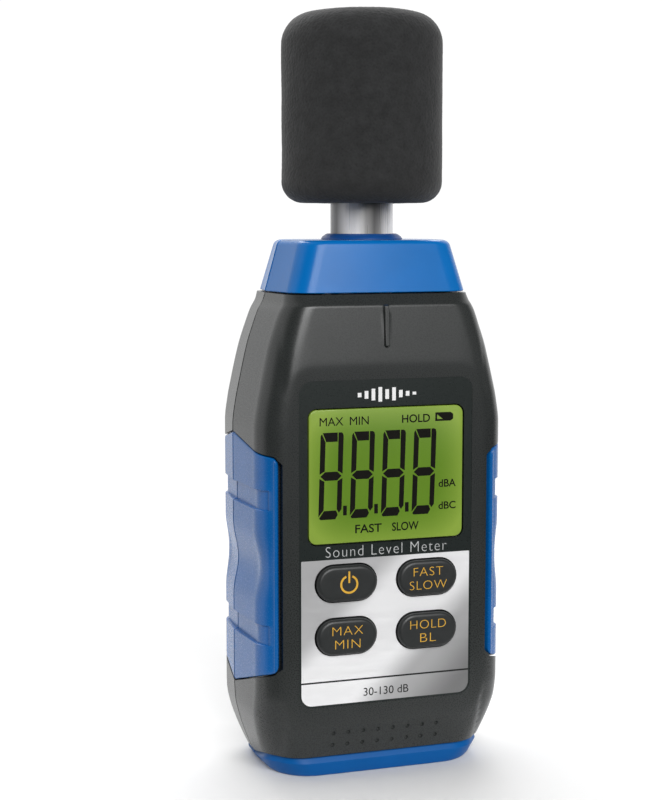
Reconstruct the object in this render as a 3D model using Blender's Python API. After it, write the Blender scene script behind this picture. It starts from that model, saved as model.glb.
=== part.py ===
"""Handheld sound level meter with a half-inch microphone tube and a foam windscreen.

The meter stands on its base. +Z runs from the base to the microphone, the display and the keys
face -Y, and the origin lies on the ground under the microphone's axis. All sizes are in metres.
"""
import math

import bmesh
import bpy
from mathutils import Matrix, Vector

GAP = 0.0003                     # clearance that touching pieces keep
PARTING_Y = 0.0020               # where the front and rear mouldings meet

# Levels of the body: height, half width, front depth, rear depth, corner radius
BODY_LEVELS = (
    (0.0000, 0.0222, 0.0130, 0.0130, 0.0085),
    (0.0004, 0.0227, 0.0134, 0.0134, 0.0085),
    (0.0045, 0.0248, 0.0142, 0.0142, 0.0080),
    (0.0110, 0.0270, 0.0158, 0.0158, 0.0066),
    (0.0145, 0.0277, 0.0158, 0.0158, 0.0060),
    (0.0200, 0.0280, 0.0158, 0.0158, 0.0057),
    (0.0730, 0.0280, 0.0158, 0.0158, 0.0057),
    (0.0780, 0.0275, 0.0158, 0.0158, 0.0057),
    (0.0866, 0.0262, 0.0158, 0.0158, 0.0055),
    (0.0940, 0.0245, 0.0152, 0.0158, 0.0053),
    (0.0970, 0.0233, 0.0150, 0.0155, 0.0052),
    (0.0994, 0.0221, 0.0147, 0.0150, 0.0050),
    (0.1006, 0.0211, 0.0140, 0.0142, 0.0046),
)
CAP_LEVELS = (
    (0.1009, 0.0208, 0.0138, 0.0138, 0.0048),
    (0.1106, 0.0176, 0.0126, 0.0126, 0.0046),
    (0.1116, 0.0167, 0.0117, 0.0117, 0.0038),
)
STRIP_TOP = 0.0044               # top of the blue strip round the base
SHELL_TOP = 0.1006
CORNER_STEPS = 5                 # flat facets in a moulded corner

# Walls, measured inward from the body's surface
GRIP_THICK = 0.0016
SIDE_WALL = 0.0034
FRONT_WALL = 0.0025
REAR_WALL = 0.0022
CAVITY_CORNER_CUT = 0.0022

# Grips: inner edge, and their heights at that edge and at the parting line
GRIP_INNER_X = 0.0235
GRIP_EDGE_Y = 0.0145
GRIP_AT_EDGE = (0.0230, 0.0680)
GRIP_AT_PARTING = (0.0180, 0.0715)

# Front face
FACE_Y = -0.0158
LABEL_HALF = 0.0187
LABEL_Z = (0.0158, 0.0830)
LABEL_Y = (-0.01575, -0.0152)
LABEL_FLOOR_Y = -0.0149
WINDOW_HALF = 0.0169
WINDOW_Z = (0.0497, 0.0774)
CAVITY_FRONT_Y = FACE_Y + FRONT_WALL

# Keys
KEY_X = 0.0089
KEY_Z = (0.0302, 0.0414)
KEY_RADIUS = 0.00375             # half height of the rounded-end key
KEY_STRAIGHT = 0.0028            # half length between its end arcs
KEY_FACE_Y = -0.01695
KEY_FLANGE_Y = (-0.0129, -0.0120)
KEY_TIP_Y = -0.0090
KEY_TRAVEL = 0.0008

# Display stack and circuit board, front to rear
GLASS_HALF = 0.0182
GLASS_Z = (0.0482, 0.0790)
GLASS_Y = (-0.0130, -0.0110)
DIFFUSER_Y = (-0.0107, -0.0083)
DIFFUSER_TOP = 0.0755
BOARD_HALF = 0.0196
BOARD_Z = (0.0170, 0.0880)
BOARD_Y = (-0.0079, -0.0063)
BOARD_SCREW_X = 0.0172
BOARD_SCREW_Z = (0.0205, 0.0836)
MAT_Y = (-0.0092, -0.0082)
MAT_HALF = 0.0175
MAT_Z = (0.0245, 0.0460)
PART_Y = BOARD_Y[1] + GAP        # where parts on the rear of the board start

# Case screws: X and Z of each pair
CASE_SCREWS = ((0.0210, 0.0132), (0.0182, 0.0920))
CASE_BOSS_RADIUS = 0.0024
CASE_POST_RADIUS = 0.0040
SCREW_SHANK = 0.0012
SCREW_HOLE = SCREW_SHANK + GAP
SCREW_HEAD = 0.0023
HEAD_HOLE = SCREW_HEAD + GAP

# Batteries (AAA) and their tray
CELL_RADIUS = 0.00525
CELL_LENGTH = 0.0445
CELL_PITCH = 0.0115
CELL_Y = 0.0069
CELL_BOTTOM = 0.0210
TRAY_HALF = 0.0184
TRAY_Z = (0.0189, 0.0726)
TRAY_Y = (0.0003, 0.0137)
TRAY_WALL = 0.0012

# Battery cover
COVER_HALF = 0.0190
COVER_Z = (0.0160, 0.0785)
COVER_Y = (0.0140, 0.0158)
COVER_SCREW_Z = 0.0752
TAB_X = 0.0100                   # two hooked tabs at the cover's lower edge
TAB_Y = (0.0125, 0.0144)
TAB_Z = (0.0132, 0.0166)

# Tripod insert
INSERT_Z = 0.0868
INSERT_BORE = 0.003175           # quarter-inch thread
INSERT_RADIUS = 0.0044
INSERT_FLANGE = 0.0056
INSERT_Y = (0.0088, 0.0156)

# Microphone
TUBE_RADIUS = 0.0066
TUBE_BORE = 0.0058
TUBE_Z = (0.0950, 0.1410)
TUBE_FLANGE_Z = (0.0985, 0.1000)
CAPSULE_Z = (0.1413, 0.1460)
GRID_Z = (0.1463, 0.1480)
SCREEN_RADIUS = 0.0170
SCREEN_Z = (0.1192, 0.1587)
SCREEN_SOCKET_TOP = 0.1490


def clear_scene():
    """Start from an empty scene."""
    for item in list(bpy.data.objects):
        bpy.data.objects.remove(item)


def finish(name, colour, roughness, metallic=0.0):
    """A Principled material of one colour."""
    material = bpy.data.materials.new(name)
    material.use_nodes = True
    shader = material.node_tree.nodes["Principled BSDF"]
    shader.inputs["Base Color"].default_value = (*colour, 1.0)
    shader.inputs["Roughness"].default_value = roughness
    shader.inputs["Metallic"].default_value = metallic
    material.diffuse_color = (*colour, 1.0)
    return material


def add(name, mesh, material=None, location=(0, 0, 0)):
    """Put a mesh into the scene as a named object."""
    item = bpy.data.objects.new(name, mesh)
    item.location = location
    bpy.context.scene.collection.objects.link(item)
    if material and not mesh.materials:
        mesh.materials.append(material)
    return item


def skin_mesh(name, rings, loop=False):
    """A closed body through rings of points. A loop joins the last ring to the first."""
    shape = bmesh.new()
    levels = [[shape.verts.new(point) for point in ring] for ring in rings]
    pairs = list(zip(levels, levels[1:]))
    if loop:
        pairs.append((levels[-1], levels[0]))
    else:
        shape.faces.new(levels[0])
        shape.faces.new(levels[-1])
    for low, high in pairs:
        for i in range(len(low)):
            j = (i + 1) % len(low)
            shape.faces.new((low[i], low[j], high[j], high[i]))
    bmesh.ops.recalc_face_normals(shape, faces=shape.faces)
    mesh = bpy.data.meshes.new(name)
    shape.to_mesh(mesh)
    shape.free()
    mesh.shade_smooth()
    mesh.set_sharp_from_angle(angle=math.radians(32))
    return mesh


def place(axis, across, up, along):
    """A point from its two coordinates across an axis and one along it."""
    if axis == "X":
        return (along, across, up)
    if axis == "Y":
        return (across, along, up)
    return (across, up, along)


def disc(axis, radius, along, centre=(0, 0), sides=24):
    """A round ring across an axis."""
    turns = [2 * math.pi * i / sides for i in range(sides)]
    return [place(axis, centre[0] + radius * math.cos(t), centre[1] + radius * math.sin(t), along)
            for t in turns]


def stadium(radius, straight, along, steps=8):
    """A ring with two round ends, across Y, for the keys."""
    ring = []
    for side, start in ((1, -90), (-1, 90)):
        for i in range(steps + 1):
            turn = math.radians(start + 180 * i / steps)
            ring.append((side * straight + radius * math.cos(turn), along, radius * math.sin(turn)))
    return ring


def rounded(axis, half, span, radius, along, steps=3):
    """A rounded rectangle, symmetric across and between two heights."""
    low, high = span
    corners = ((half - radius, low + radius, -90), (half - radius, high - radius, 0),
               (radius - half, high - radius, 90), (radius - half, low + radius, 180))
    ring = []
    for across, up, start in corners:
        for i in range(steps + 1):
            turn = math.radians(start + 90 * i / steps)
            ring.append(place(axis, across + radius * math.cos(turn),
                              up + radius * math.sin(turn), along))
    return ring


def turned(name, axis, profile, centre=(0, 0), sides=24, loop=False):
    """A turned body: the profile lists radius and place along the axis."""
    return skin_mesh(name, [disc(axis, r, along, centre, sides) for r, along in profile], loop)


def pin(name, axis, radius, span, centre=(0, 0), sides=20):
    """A plain round bar."""
    return turned(name, axis, [(radius, span[0]), (radius, span[1])], centre, sides)


def block(name, x_span, y_span, z_span):
    """A plain rectangular block."""
    corners = ((0, 0), (1, 0), (1, 1), (0, 1))
    return skin_mesh(name, [[(x_span[i], y_span[j], z) for i, j in corners] for z in z_span])


def panel(name, half, z_span, radius, y_span):
    """A plate facing Y with rounded corners."""
    return skin_mesh(name, [rounded("Y", half, z_span, radius, y) for y in y_span])


def level_at(levels, z):
    """The level at a height, between the listed ones."""
    for low, high in zip(levels, levels[1:]):
        if low[0] <= z <= high[0]:
            share = (z - low[0]) / (high[0] - low[0])
            return tuple(a + share * (b - a) for a, b in zip(low, high))
    raise ValueError("height outside the levels")


def stretch(levels, z_low, z_high):
    """The levels between two heights, with those heights added."""
    between = [level for level in levels if z_low + 1e-6 < level[0] < z_high - 1e-6]
    return [level_at(levels, z_low)] + between + [level_at(levels, z_high)]


def inset(levels, side, front, rear, corner):
    """Levels moved inward."""
    return [(z, half - side, y_front - front, y_rear - rear, radius - corner)
            for z, half, y_front, y_rear, radius in levels]


def arc(x, y, radius, start, z):
    """A quarter circle of a level's outline."""
    turns = [math.radians(start + 90 * i / CORNER_STEPS) for i in range(CORNER_STEPS + 1)]
    return [(x + radius * math.cos(t), y + radius * math.sin(t), z) for t in turns]


def front_arcs(level):
    """The two front corners, left to right."""
    z, half, front, _, radius = level
    return (arc(radius - half, radius - front, radius, 180, z)
            + arc(half - radius, radius - front, radius, 270, z))


def rear_arcs(level):
    """The two rear corners, right to left."""
    z, half, _, rear, radius = level
    return arc(half - radius, rear - radius, radius, 0, z) + arc(radius - half, rear - radius, radius, 90, z)


def front_half(name, levels, parting=PARTING_Y - GAP / 2):
    """The part of a body in front of the parting line."""
    return skin_mesh(name, [[(-lv[1], parting, lv[0])] + front_arcs(lv) + [(lv[1], parting, lv[0])]
                            for lv in levels])


def rear_half(name, levels, parting=PARTING_Y + GAP / 2):
    """The part of a body behind the parting line."""
    return skin_mesh(name, [[(lv[1], parting, lv[0])] + rear_arcs(lv) + [(-lv[1], parting, lv[0])]
                            for lv in levels])


def whole(name, levels):
    """A body all round."""
    return skin_mesh(name, [front_arcs(lv) + rear_arcs(lv) for lv in levels])


def joined(name, meshes):
    """Several separate closed bodies in one mesh, for use as one cutter."""
    shape = bmesh.new()
    for mesh in meshes:
        shape.from_mesh(mesh)
    result = bpy.data.meshes.new(name)
    shape.to_mesh(result)
    shape.free()
    return result


def combine(item, operation, meshes):
    """Cut, add or intersect an object with separate closed bodies."""
    tool = add(item.name + "_tool", joined(item.name + "_tool", meshes))
    tool.hide_render = True
    tool.display_type = "WIRE"
    modifier = item.modifiers.new(operation.lower(), "BOOLEAN")
    modifier.operation = operation
    modifier.object = tool
    return item


def both_sides(make):
    """One body on each side: make is called with side +1 and -1."""
    return [make(side) for side in (1, -1)]


def grip_block(side, facing, margin, parting):
    """The space that a grip fills, on one side and in front of or behind the parting line."""
    edge_x = GRIP_INNER_X - margin
    reach_x = 0.0300
    reach_y = 0.0190
    slope_low = (GRIP_AT_EDGE[0] - GRIP_AT_PARTING[0]) / (GRIP_EDGE_Y + PARTING_Y)
    slope_high = (GRIP_AT_EDGE[1] - GRIP_AT_PARTING[1]) / (GRIP_EDGE_Y + PARTING_Y)
    outer = reach_y - PARTING_Y
    outline = (
        (parting, GRIP_AT_PARTING[0] - margin),
        (parting, GRIP_AT_PARTING[1] + margin),
        (facing * reach_y, GRIP_AT_PARTING[1] + margin + slope_high * outer),
        (facing * reach_y, GRIP_AT_PARTING[0] - margin + slope_low * outer),
    )
    return skin_mesh("grip_block", [[(side * x, y, z) for y, z in outline] for x in (edge_x, reach_x)])


def shell_body(name, material, facing):
    """A charcoal half: its outside with grip pockets, hollowed out."""
    make_half = front_half if facing < 0 else rear_half
    cut_end = PARTING_Y - facing * 0.0030
    core_end = PARTING_Y + facing * GAP
    levels = stretch(BODY_LEVELS, STRIP_TOP + GAP, SHELL_TOP)
    pocket_depth = GRIP_THICK + GAP
    core = inset(stretch(BODY_LEVELS, 0.0150, 0.0760), pocket_depth, pocket_depth, pocket_depth, pocket_depth)
    cavity = inset(stretch(BODY_LEVELS, 0.0040, SHELL_TOP), SIDE_WALL, FRONT_WALL, REAR_WALL,
                   CAVITY_CORNER_CUT)
    top = (SHELL_TOP + 0.0020, *cavity[-1][1:])
    shell = add(name, make_half(name, levels), material)
    combine(shell, "DIFFERENCE", both_sides(lambda side: grip_block(side, facing, GAP, cut_end)))
    combine(shell, "UNION", [make_half("core", core, core_end)])
    combine(shell, "DIFFERENCE", [whole("cavity", cavity + [top])])
    return shell


def case_points():
    """X and Z of the four case screws."""
    return [(side * x, z) for x, z in CASE_SCREWS for side in (1, -1)]


def board_points():
    """X and Z of the four board screws."""
    return [(side * BOARD_SCREW_X, z) for z in BOARD_SCREW_Z for side in (1, -1)]


def key_points():
    """X and Z of the four keys, with their names."""
    names = (("key_max_min", "key_hold_light"), ("key_power", "key_fast_slow"))
    return [(names[row][column], (2 * column - 1) * KEY_X, KEY_Z[row]) for row in (1, 0) for column in (0, 1)]


def moved(mesh, x=0.0, y=0.0, z=0.0):
    """Shift a mesh."""
    mesh.transform(Matrix.Translation((x, y, z)))
    return mesh


def key_holes(y_span):
    """Clearance holes for the four keys."""
    rings = [stadium(KEY_RADIUS + GAP, KEY_STRAIGHT, y) for y in y_span]
    return [moved(skin_mesh("key_hole", rings), x=x, z=z) for _, x, z in key_points()]


def front_shell(material):
    """Front moulding: label recess, display window, key holes and screw bosses."""
    shell = shell_body("front_shell", material, -1)
    recess_z = (LABEL_Z[0] - GAP, LABEL_Z[1] + GAP)
    combine(shell, "DIFFERENCE", [panel("recess", LABEL_HALF + GAP, recess_z, 0.0027,
                                        (FACE_Y - 0.0010, LABEL_FLOOR_Y))])
    window_z = (WINDOW_Z[0] - GAP, WINDOW_Z[1] + GAP)
    through = (FACE_Y - 0.0020, CAVITY_FRONT_Y + 0.0010)
    combine(shell, "DIFFERENCE",
            [panel("window", WINDOW_HALF + GAP, window_z, 0.0018, through)] + key_holes(through))
    start = CAVITY_FRONT_Y - 0.0004
    bosses = [pin("boss", "Y", CASE_BOSS_RADIUS, (start, PARTING_Y - GAP), point, 14) for point in case_points()]
    stands = [pin("stand", "Y", 0.0018, (start, BOARD_Y[0] - GAP), point, 12) for point in board_points()]
    combine(shell, "UNION", bosses + stands)
    drilled = [pin("hole", "Y", SCREW_HOLE, (-0.0088, 0.0060), point, 12) for point in case_points()]
    tapped = [pin("hole", "Y", 0.0011, (-0.0128, -0.0060), point, 10) for point in board_points()]
    combine(shell, "DIFFERENCE", drilled + tapped)


def rear_shell(material):
    """Rear moulding: screw posts, battery opening and the tripod insert's boss."""
    shell = shell_body("rear_shell", material, 1)
    posts = [pin("post", "Y", CASE_POST_RADIUS, (PARTING_Y + GAP, 0.0144), point, 16) for point in case_points()]
    collar = pin("collar", "Y", 0.0064, (INSERT_Y[0] + 0.0015, 0.0145), (0, INSERT_Z), 24)
    combine(shell, "UNION", posts + [collar])
    opening_z = (COVER_Z[0] - GAP, COVER_Z[1] + GAP)
    opening = panel("opening", COVER_HALF + GAP, opening_z, 0.0012, (0.0128, 0.0180))
    counterbores = [pin("head_hole", "Y", HEAD_HOLE, (0.0050, 0.0180), point, 16) for point in case_points()]
    bore = pin("bore", "Y", INSERT_RADIUS + GAP, (0.0070, 0.0180), (0, INSERT_Z), 24)
    combine(shell, "DIFFERENCE", [opening, bore] + counterbores)
    combine(shell, "DIFFERENCE", [pin("hole", "Y", SCREW_HOLE, (0.0010, 0.0060), point, 12)
                                  for point in case_points()])


def hollow_cap(name, material, facing, outer, tongue, cavity, extra):
    """A blue end piece with a tongue that reaches inside the shells."""
    make_half = front_half if facing < 0 else rear_half
    cap = add(name, make_half(name, outer), material)
    combine(cap, "UNION", [make_half("tongue", tongue, PARTING_Y + facing * GAP)])
    combine(cap, "DIFFERENCE", [whole("cavity", cavity)] + extra)
    return cap


def top_caps(material):
    """Blue cap that carries the microphone tube, in two halves."""
    tongue = [(0.0973, 0.0172, 0.0110, 0.0110, 0.0032), (0.1015, 0.0172, 0.0110, 0.0110, 0.0032)]
    cavity = [(0.0960, 0.0154, 0.0096, 0.0096, 0.0028), (0.1094, 0.0150, 0.0094, 0.0094, 0.0028)]
    bore = turned("bore", "Z", [(TUBE_RADIUS + GAP, 0.1050), (TUBE_RADIUS + GAP, 0.1140)], sides=32)
    for name, facing in (("top_cap_front", -1), ("top_cap_rear", 1)):
        cap = hollow_cap(name, material, facing, CAP_LEVELS, tongue, cavity, [])
        combine(cap, "DIFFERENCE", [bore])


def bottom_caps(material):
    """Blue strip round the base, in two halves with flat feet."""
    outer = stretch(BODY_LEVELS, 0.0, STRIP_TOP)
    tongue = [(0.0036, 0.0206, 0.0110, 0.0110, 0.0055), (0.0084, 0.0206, 0.0110, 0.0110, 0.0055)]
    cavity = [(0.0022, 0.0190, 0.0094, 0.0094, 0.0040), (0.0100, 0.0190, 0.0094, 0.0094, 0.0040)]
    for name, facing in (("bottom_cap_front", -1), ("bottom_cap_rear", 1)):
        hollow_cap(name, material, facing, outer, tongue, cavity, [])


def grips(material):
    """Four soft blue grips, two on each side, split at the parting line."""
    levels = stretch(BODY_LEVELS, 0.0150, 0.0760)
    core = inset(stretch(BODY_LEVELS, 0.0146, 0.0764), GRIP_THICK, GRIP_THICK, GRIP_THICK, GRIP_THICK)
    for facing, place_name, make_half in ((-1, "front", front_half), (1, "rear", rear_half)):
        for side, side_name in ((-1, "left"), (1, "right")):
            name = "grip_" + side_name + "_" + place_name
            grip = add(name, make_half(name, levels), material)
            block_end = PARTING_Y - facing * 0.0030
            combine(grip, "INTERSECT", [grip_block(side, facing, 0.0, block_end)])
            combine(grip, "DIFFERENCE", [make_half("core", core, PARTING_Y - facing * 0.0040)])


def face_pieces(label_material, lens_material):
    """Printed label and the display window set into it."""
    label = add("face_label", panel("face_label", LABEL_HALF, LABEL_Z, 0.0024, LABEL_Y), label_material)
    through = (FACE_Y - 0.0020, CAVITY_FRONT_Y)
    window_z = (WINDOW_Z[0] - GAP, WINDOW_Z[1] + GAP)
    combine(label, "DIFFERENCE",
            [panel("window", WINDOW_HALF + GAP, window_z, 0.0018, through)] + key_holes(through))
    add("display_lens", panel("display_lens", WINDOW_HALF, WINDOW_Z, 0.0015, (LABEL_Y[0], -0.0143)),
        lens_material)


def keys(material):
    """Four rubber keys that share a mesh, each with its origin on its own axis."""
    chamfer = 0.0009
    rings = [
        stadium(KEY_RADIUS - chamfer, KEY_STRAIGHT, KEY_FACE_Y),
        stadium(KEY_RADIUS, KEY_STRAIGHT, KEY_FACE_Y + chamfer * 0.8),
        stadium(KEY_RADIUS, KEY_STRAIGHT, KEY_FLANGE_Y[0]),
        stadium(KEY_RADIUS + 0.0010, KEY_STRAIGHT, KEY_FLANGE_Y[0]),
        stadium(KEY_RADIUS + 0.0010, KEY_STRAIGHT, KEY_FLANGE_Y[1]),
        stadium(0.0015, 0.0, KEY_FLANGE_Y[1]),
        stadium(0.0015, 0.0, KEY_TIP_Y),
    ]
    spread = [[(x + (0.00002 if x > 0 else -0.00002), y, z) for x, y, z in ring] for ring in rings]
    mesh = skin_mesh("key", spread)
    for name, x, z in key_points():
        add(name, mesh, material, (x, 0, z))


def display_stack(glass, frame_material, diffuser_material, strip_material):
    """Glass, frame, diffuser and contact strip behind the window."""
    add("lcd_panel", block("lcd_panel", (-GLASS_HALF, GLASS_HALF), GLASS_Y, GLASS_Z), glass)
    add("backlight_diffuser", block("backlight_diffuser", (-GLASS_HALF, GLASS_HALF), DIFFUSER_Y,
                                    (GLASS_Z[0], DIFFUSER_TOP)), diffuser_material)
    add("zebra_strip", block("zebra_strip", (-0.0150, 0.0150), DIFFUSER_Y,
                             (DIFFUSER_TOP + 0.0006, GLASS_Z[1] - 0.0003)), strip_material)
    inner_half = GLASS_HALF + GAP
    wall = 0.0011
    opening = panel("opening", inner_half, (GLASS_Z[0] - GAP, GLASS_Z[1] + GAP), 0.0003, (-0.0140, -0.0070))
    outer_z = (GLASS_Z[0] - GAP - wall, GLASS_Z[1] + GAP + wall)
    frame = add("lcd_frame", panel("lcd_frame", inner_half + wall, outer_z, 0.0008,
                                   (GLASS_Y[0], DIFFUSER_Y[1])), frame_material)
    combine(frame, "DIFFERENCE", [opening])


def electronics(board_material, chip_material, can_material, mat_material, sleeve_material, trim_material):
    """Circuit board, keypad mat and the larger parts on the board."""
    board = add("main_board", block("main_board", (-BOARD_HALF, BOARD_HALF), BOARD_Y, BOARD_Z), board_material)
    combine(board, "DIFFERENCE", [pin("hole", "Y", SCREW_HOLE, (-0.0100, -0.0040), point, 12)
                                  for point in board_points()])
    mat = add("keypad_mat", panel("keypad_mat", MAT_HALF, MAT_Z, 0.0015, MAT_Y), mat_material)
    combine(mat, "DIFFERENCE", [pin("dome", "Y", 0.0024, (-0.0110, -0.0070), (x, z), 16)
                                for _, x, z in key_points()])
    chips = (("processor_chip", -0.0010, 0.0440, 0.0050, 0.0050, 0.0017),
             ("amplifier_chip", 0.0075, 0.0800, 0.0025, 0.0020, 0.0015))
    for name, x, z, half_x, half_z, height in chips:
        add(name, block(name, (x - half_x, x + half_x), (PART_Y, PART_Y + height), (z - half_z, z + half_z)),
            chip_material)
    crystal = [rounded("Z", 0.0017, (PART_Y, PART_Y + 0.0034), 0.0016, z) for z in (0.0535, 0.0600)]
    add("crystal", moved(skin_mesh("crystal", crystal), x=-0.0120), can_material)
    add("capacitor", pin("capacitor", "Z", 0.0026, (0.0758, 0.0836), (-0.0085, PART_Y + 0.0026), 20),
        sleeve_material)
    trimmer = add("calibration_trimmer",
                  block("calibration_trimmer", (-0.0030, 0.0030), (PART_Y, PART_Y + 0.0036), (0.0780, 0.0840)),
                  trim_material)
    slot = block("slot", (-0.0016, 0.0016), (PART_Y + 0.0030, PART_Y + 0.0050), (0.0807, 0.0813))
    combine(trimmer, "DIFFERENCE", [slot])


def screw_mesh(name, head_y, head_thick, shank_end, shank, head, sides=14):
    """A screw along Y whose head faces the rear, with a cross slot left to its finish."""
    profile = [(shank * 0.55, shank_end), (shank, shank_end + 0.0010), (shank, head_y),
               (head, head_y), (head, head_y + head_thick * 0.6), (head * 0.8, head_y + head_thick)]
    return turned(name, "Y", profile, sides=sides)


def screws(material):
    """Case, board and cover screws."""
    case = screw_mesh("case_screw", 0.0053, 0.0018, -0.0060, SCREW_SHANK, SCREW_HEAD)
    for number, (x, z) in enumerate(case_points(), 1):
        add("case_screw_" + str(number), case, material, (x, 0, z))
    board = screw_mesh("board_screw", BOARD_Y[1] + GAP, 0.0011, -0.0116, 0.0008, 0.0017, 12)
    for number, (x, z) in enumerate(board_points(), 1):
        add("board_screw_" + str(number), board, material, (x, 0, z))


def battery_tray(material):
    """Open tray for three cells, with the cover screw's boss on its top wall."""
    tray = add("battery_tray", block("battery_tray", (-TRAY_HALF, TRAY_HALF), TRAY_Y, TRAY_Z), material)
    boss = block("boss", (-0.0040, 0.0040), (0.0060, 0.0135), (TRAY_Z[1] - 0.0005, 0.0782))
    combine(tray, "UNION", [boss])
    inside = block("inside", (TRAY_WALL - TRAY_HALF, TRAY_HALF - TRAY_WALL),
                   (TRAY_Y[0] + TRAY_WALL, 0.0160), (TRAY_Z[0] + TRAY_WALL, TRAY_Z[1] - TRAY_WALL))
    hole = pin("hole", "Y", SCREW_HOLE, (0.0100, 0.0160), (0, COVER_SCREW_Z), 14)
    combine(tray, "DIFFERENCE", [inside, hole])


def cell_mesh():
    """An AAA cell about its own axis, with its raised terminal at the top."""
    top = CELL_LENGTH
    profile = [(0.0040, 0.0), (CELL_RADIUS, 0.0005), (CELL_RADIUS, top - 0.0013),
               (CELL_RADIUS - 0.0005, top - 0.0009), (0.0019, top - 0.0008), (0.0019, top)]
    return turned("cell", "Z", profile, sides=20)


def spring_path(bottom, top):
    """Points along a cell spring that widens towards the tray wall."""
    turns, per_turn = 3, 10
    points = []
    for i in range(turns * per_turn + 1):
        share = i / (turns * per_turn)
        radius = 0.0019 + 0.0013 * share
        turn = 2 * math.pi * turns * share
        points.append((radius * math.cos(turn), radius * math.sin(turn), bottom + share * (top - bottom)))
    return points


def wire(name, points, radius, material, location=(0, 0, 0), resolution=1):
    """A round wire through points."""
    curve = bpy.data.curves.new(name, "CURVE")
    curve.dimensions = "3D"
    curve.bevel_depth = radius
    curve.bevel_resolution = resolution
    curve.render_resolution_u = 0
    curve.use_fill_caps = True
    line = curve.splines.new("POLY")
    line.points.add(len(points) - 1)
    for item, point in zip(line.points, points):
        item.co = (*point, 1.0)
    curve.materials.append(material)
    item = bpy.data.objects.new(name, curve)
    item.location = location
    bpy.context.scene.collection.objects.link(item)
    return item


def batteries(cell_material, spring_material, contact_material):
    """Three cells, each with a spring above and a contact plate below."""
    cell = cell_mesh()
    cell_top = CELL_BOTTOM + CELL_LENGTH
    path = spring_path(cell_top + 0.0007, TRAY_Z[1] - TRAY_WALL - 0.0007)
    plate = block("contact", (-0.0042, 0.0042), (-0.0042, 0.0042), (0.0, 0.0004))
    plate_z = TRAY_Z[0] + TRAY_WALL + 0.0002
    for number in (1, 2, 3):
        x = (number - 2) * CELL_PITCH
        add("battery_" + str(number), cell, cell_material, (x, CELL_Y, CELL_BOTTOM))
        wire("battery_spring_" + str(number), path, 0.0003, spring_material, (x, CELL_Y, 0))
        add("battery_contact_" + str(number), plate, contact_material, (x, CELL_Y, plate_z))


def smooth_route(corners, count):
    """Points on one smooth curve through a few corners."""
    points = [Vector(corner) for corner in corners]
    points = [2 * points[0] - points[1]] + points + [2 * points[-1] - points[-2]]
    spans = len(points) - 3
    route = []
    for i in range(count):
        place_on = spans * i / (count - 1)
        span = min(int(place_on), spans - 1)
        t = place_on - span
        a, b, c, d = points[span:span + 4]
        route.append(0.5 * (2 * b + (c - a) * t + (2 * a - 5 * b + 4 * c - d) * t ** 2
                            + (3 * b - a - 3 * c + d) * t ** 3))
    return route


def leads(black, red, grey):
    """Battery leads and the microphone's screened lead, all inside the case."""
    for name, side, material in (("battery_lead_black", -1, black), ("battery_lead_red", 1, red)):
        corners = ((side * 0.0145, 0.0040, 0.0734), (side * 0.0145, 0.0000, 0.0741),
                   (side * 0.0143, -0.0030, 0.0752), (side * 0.0140, -0.0058, 0.0760))
        wire(name, smooth_route(corners, 10), 0.0005, material)
    corners = ((0.0010, 0.0005, 0.0990), (0.0012, 0.0000, 0.0945), (0.0050, -0.0025, 0.0905),
               (0.0075, -0.0048, 0.0865), (0.0076, -0.0055, 0.0835))
    wire("microphone_lead", smooth_route(corners, 14), 0.0007, grey)


def cover(material, screw_material):
    """Battery cover and its captive screw, on an empty at the cover's lower edge."""
    hinge = bpy.data.objects.new("cover_hinge", None)
    hinge.location = (0, COVER_Y[1], COVER_Z[0])
    bpy.context.scene.collection.objects.link(hinge)
    drop = {"y": -COVER_Y[1], "z": -COVER_Z[0]}
    door = add("battery_cover", moved(panel("battery_cover", COVER_HALF, COVER_Z, 0.0010, COVER_Y), **drop),
               material)
    tabs = [block("tab", (x - 0.0030, x + 0.0030), TAB_Y, TAB_Z) for x in (-TAB_X, TAB_X)]
    tab_relief = [block("relief", (x - 0.0040, x + 0.0040), (TAB_Y[0] + 0.0008, 0.0170), (0.0120, COVER_Z[0]))
                  for x in (-TAB_X, TAB_X)]
    head = pin("head_hole", "Y", HEAD_HOLE, (0.0146, 0.0180), (0, COVER_SCREW_Z), 16)
    hole = pin("hole", "Y", SCREW_HOLE, (0.0120, 0.0150), (0, COVER_SCREW_Z), 12)
    combine(door, "UNION", tabs)
    combine(door, "DIFFERENCE", tab_relief)
    combine(door, "DIFFERENCE", [head])
    combine(door, "DIFFERENCE", [hole])
    door.parent = hinge
    mesh = screw_mesh("cover_screw", 0.0149, 0.0008, 0.0112, SCREW_SHANK, SCREW_HEAD)
    screw = add("cover_screw", moved(mesh, y=-COVER_Y[1]), screw_material, (0, 0, COVER_SCREW_Z - COVER_Z[0]))
    screw.parent = hinge


def tripod_insert(material):
    """Brass insert with a quarter-inch bore, closed at its inner end."""
    back, face = INSERT_Y
    profile = [(INSERT_FLANGE, back), (INSERT_FLANGE, back + 0.0012), (INSERT_RADIUS, back + 0.0012),
               (INSERT_RADIUS, face), (INSERT_BORE, face), (INSERT_BORE, back + 0.0008)]
    add("tripod_insert", turned("tripod_insert", "Y", profile, (0, INSERT_Z), 28), material)


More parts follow.
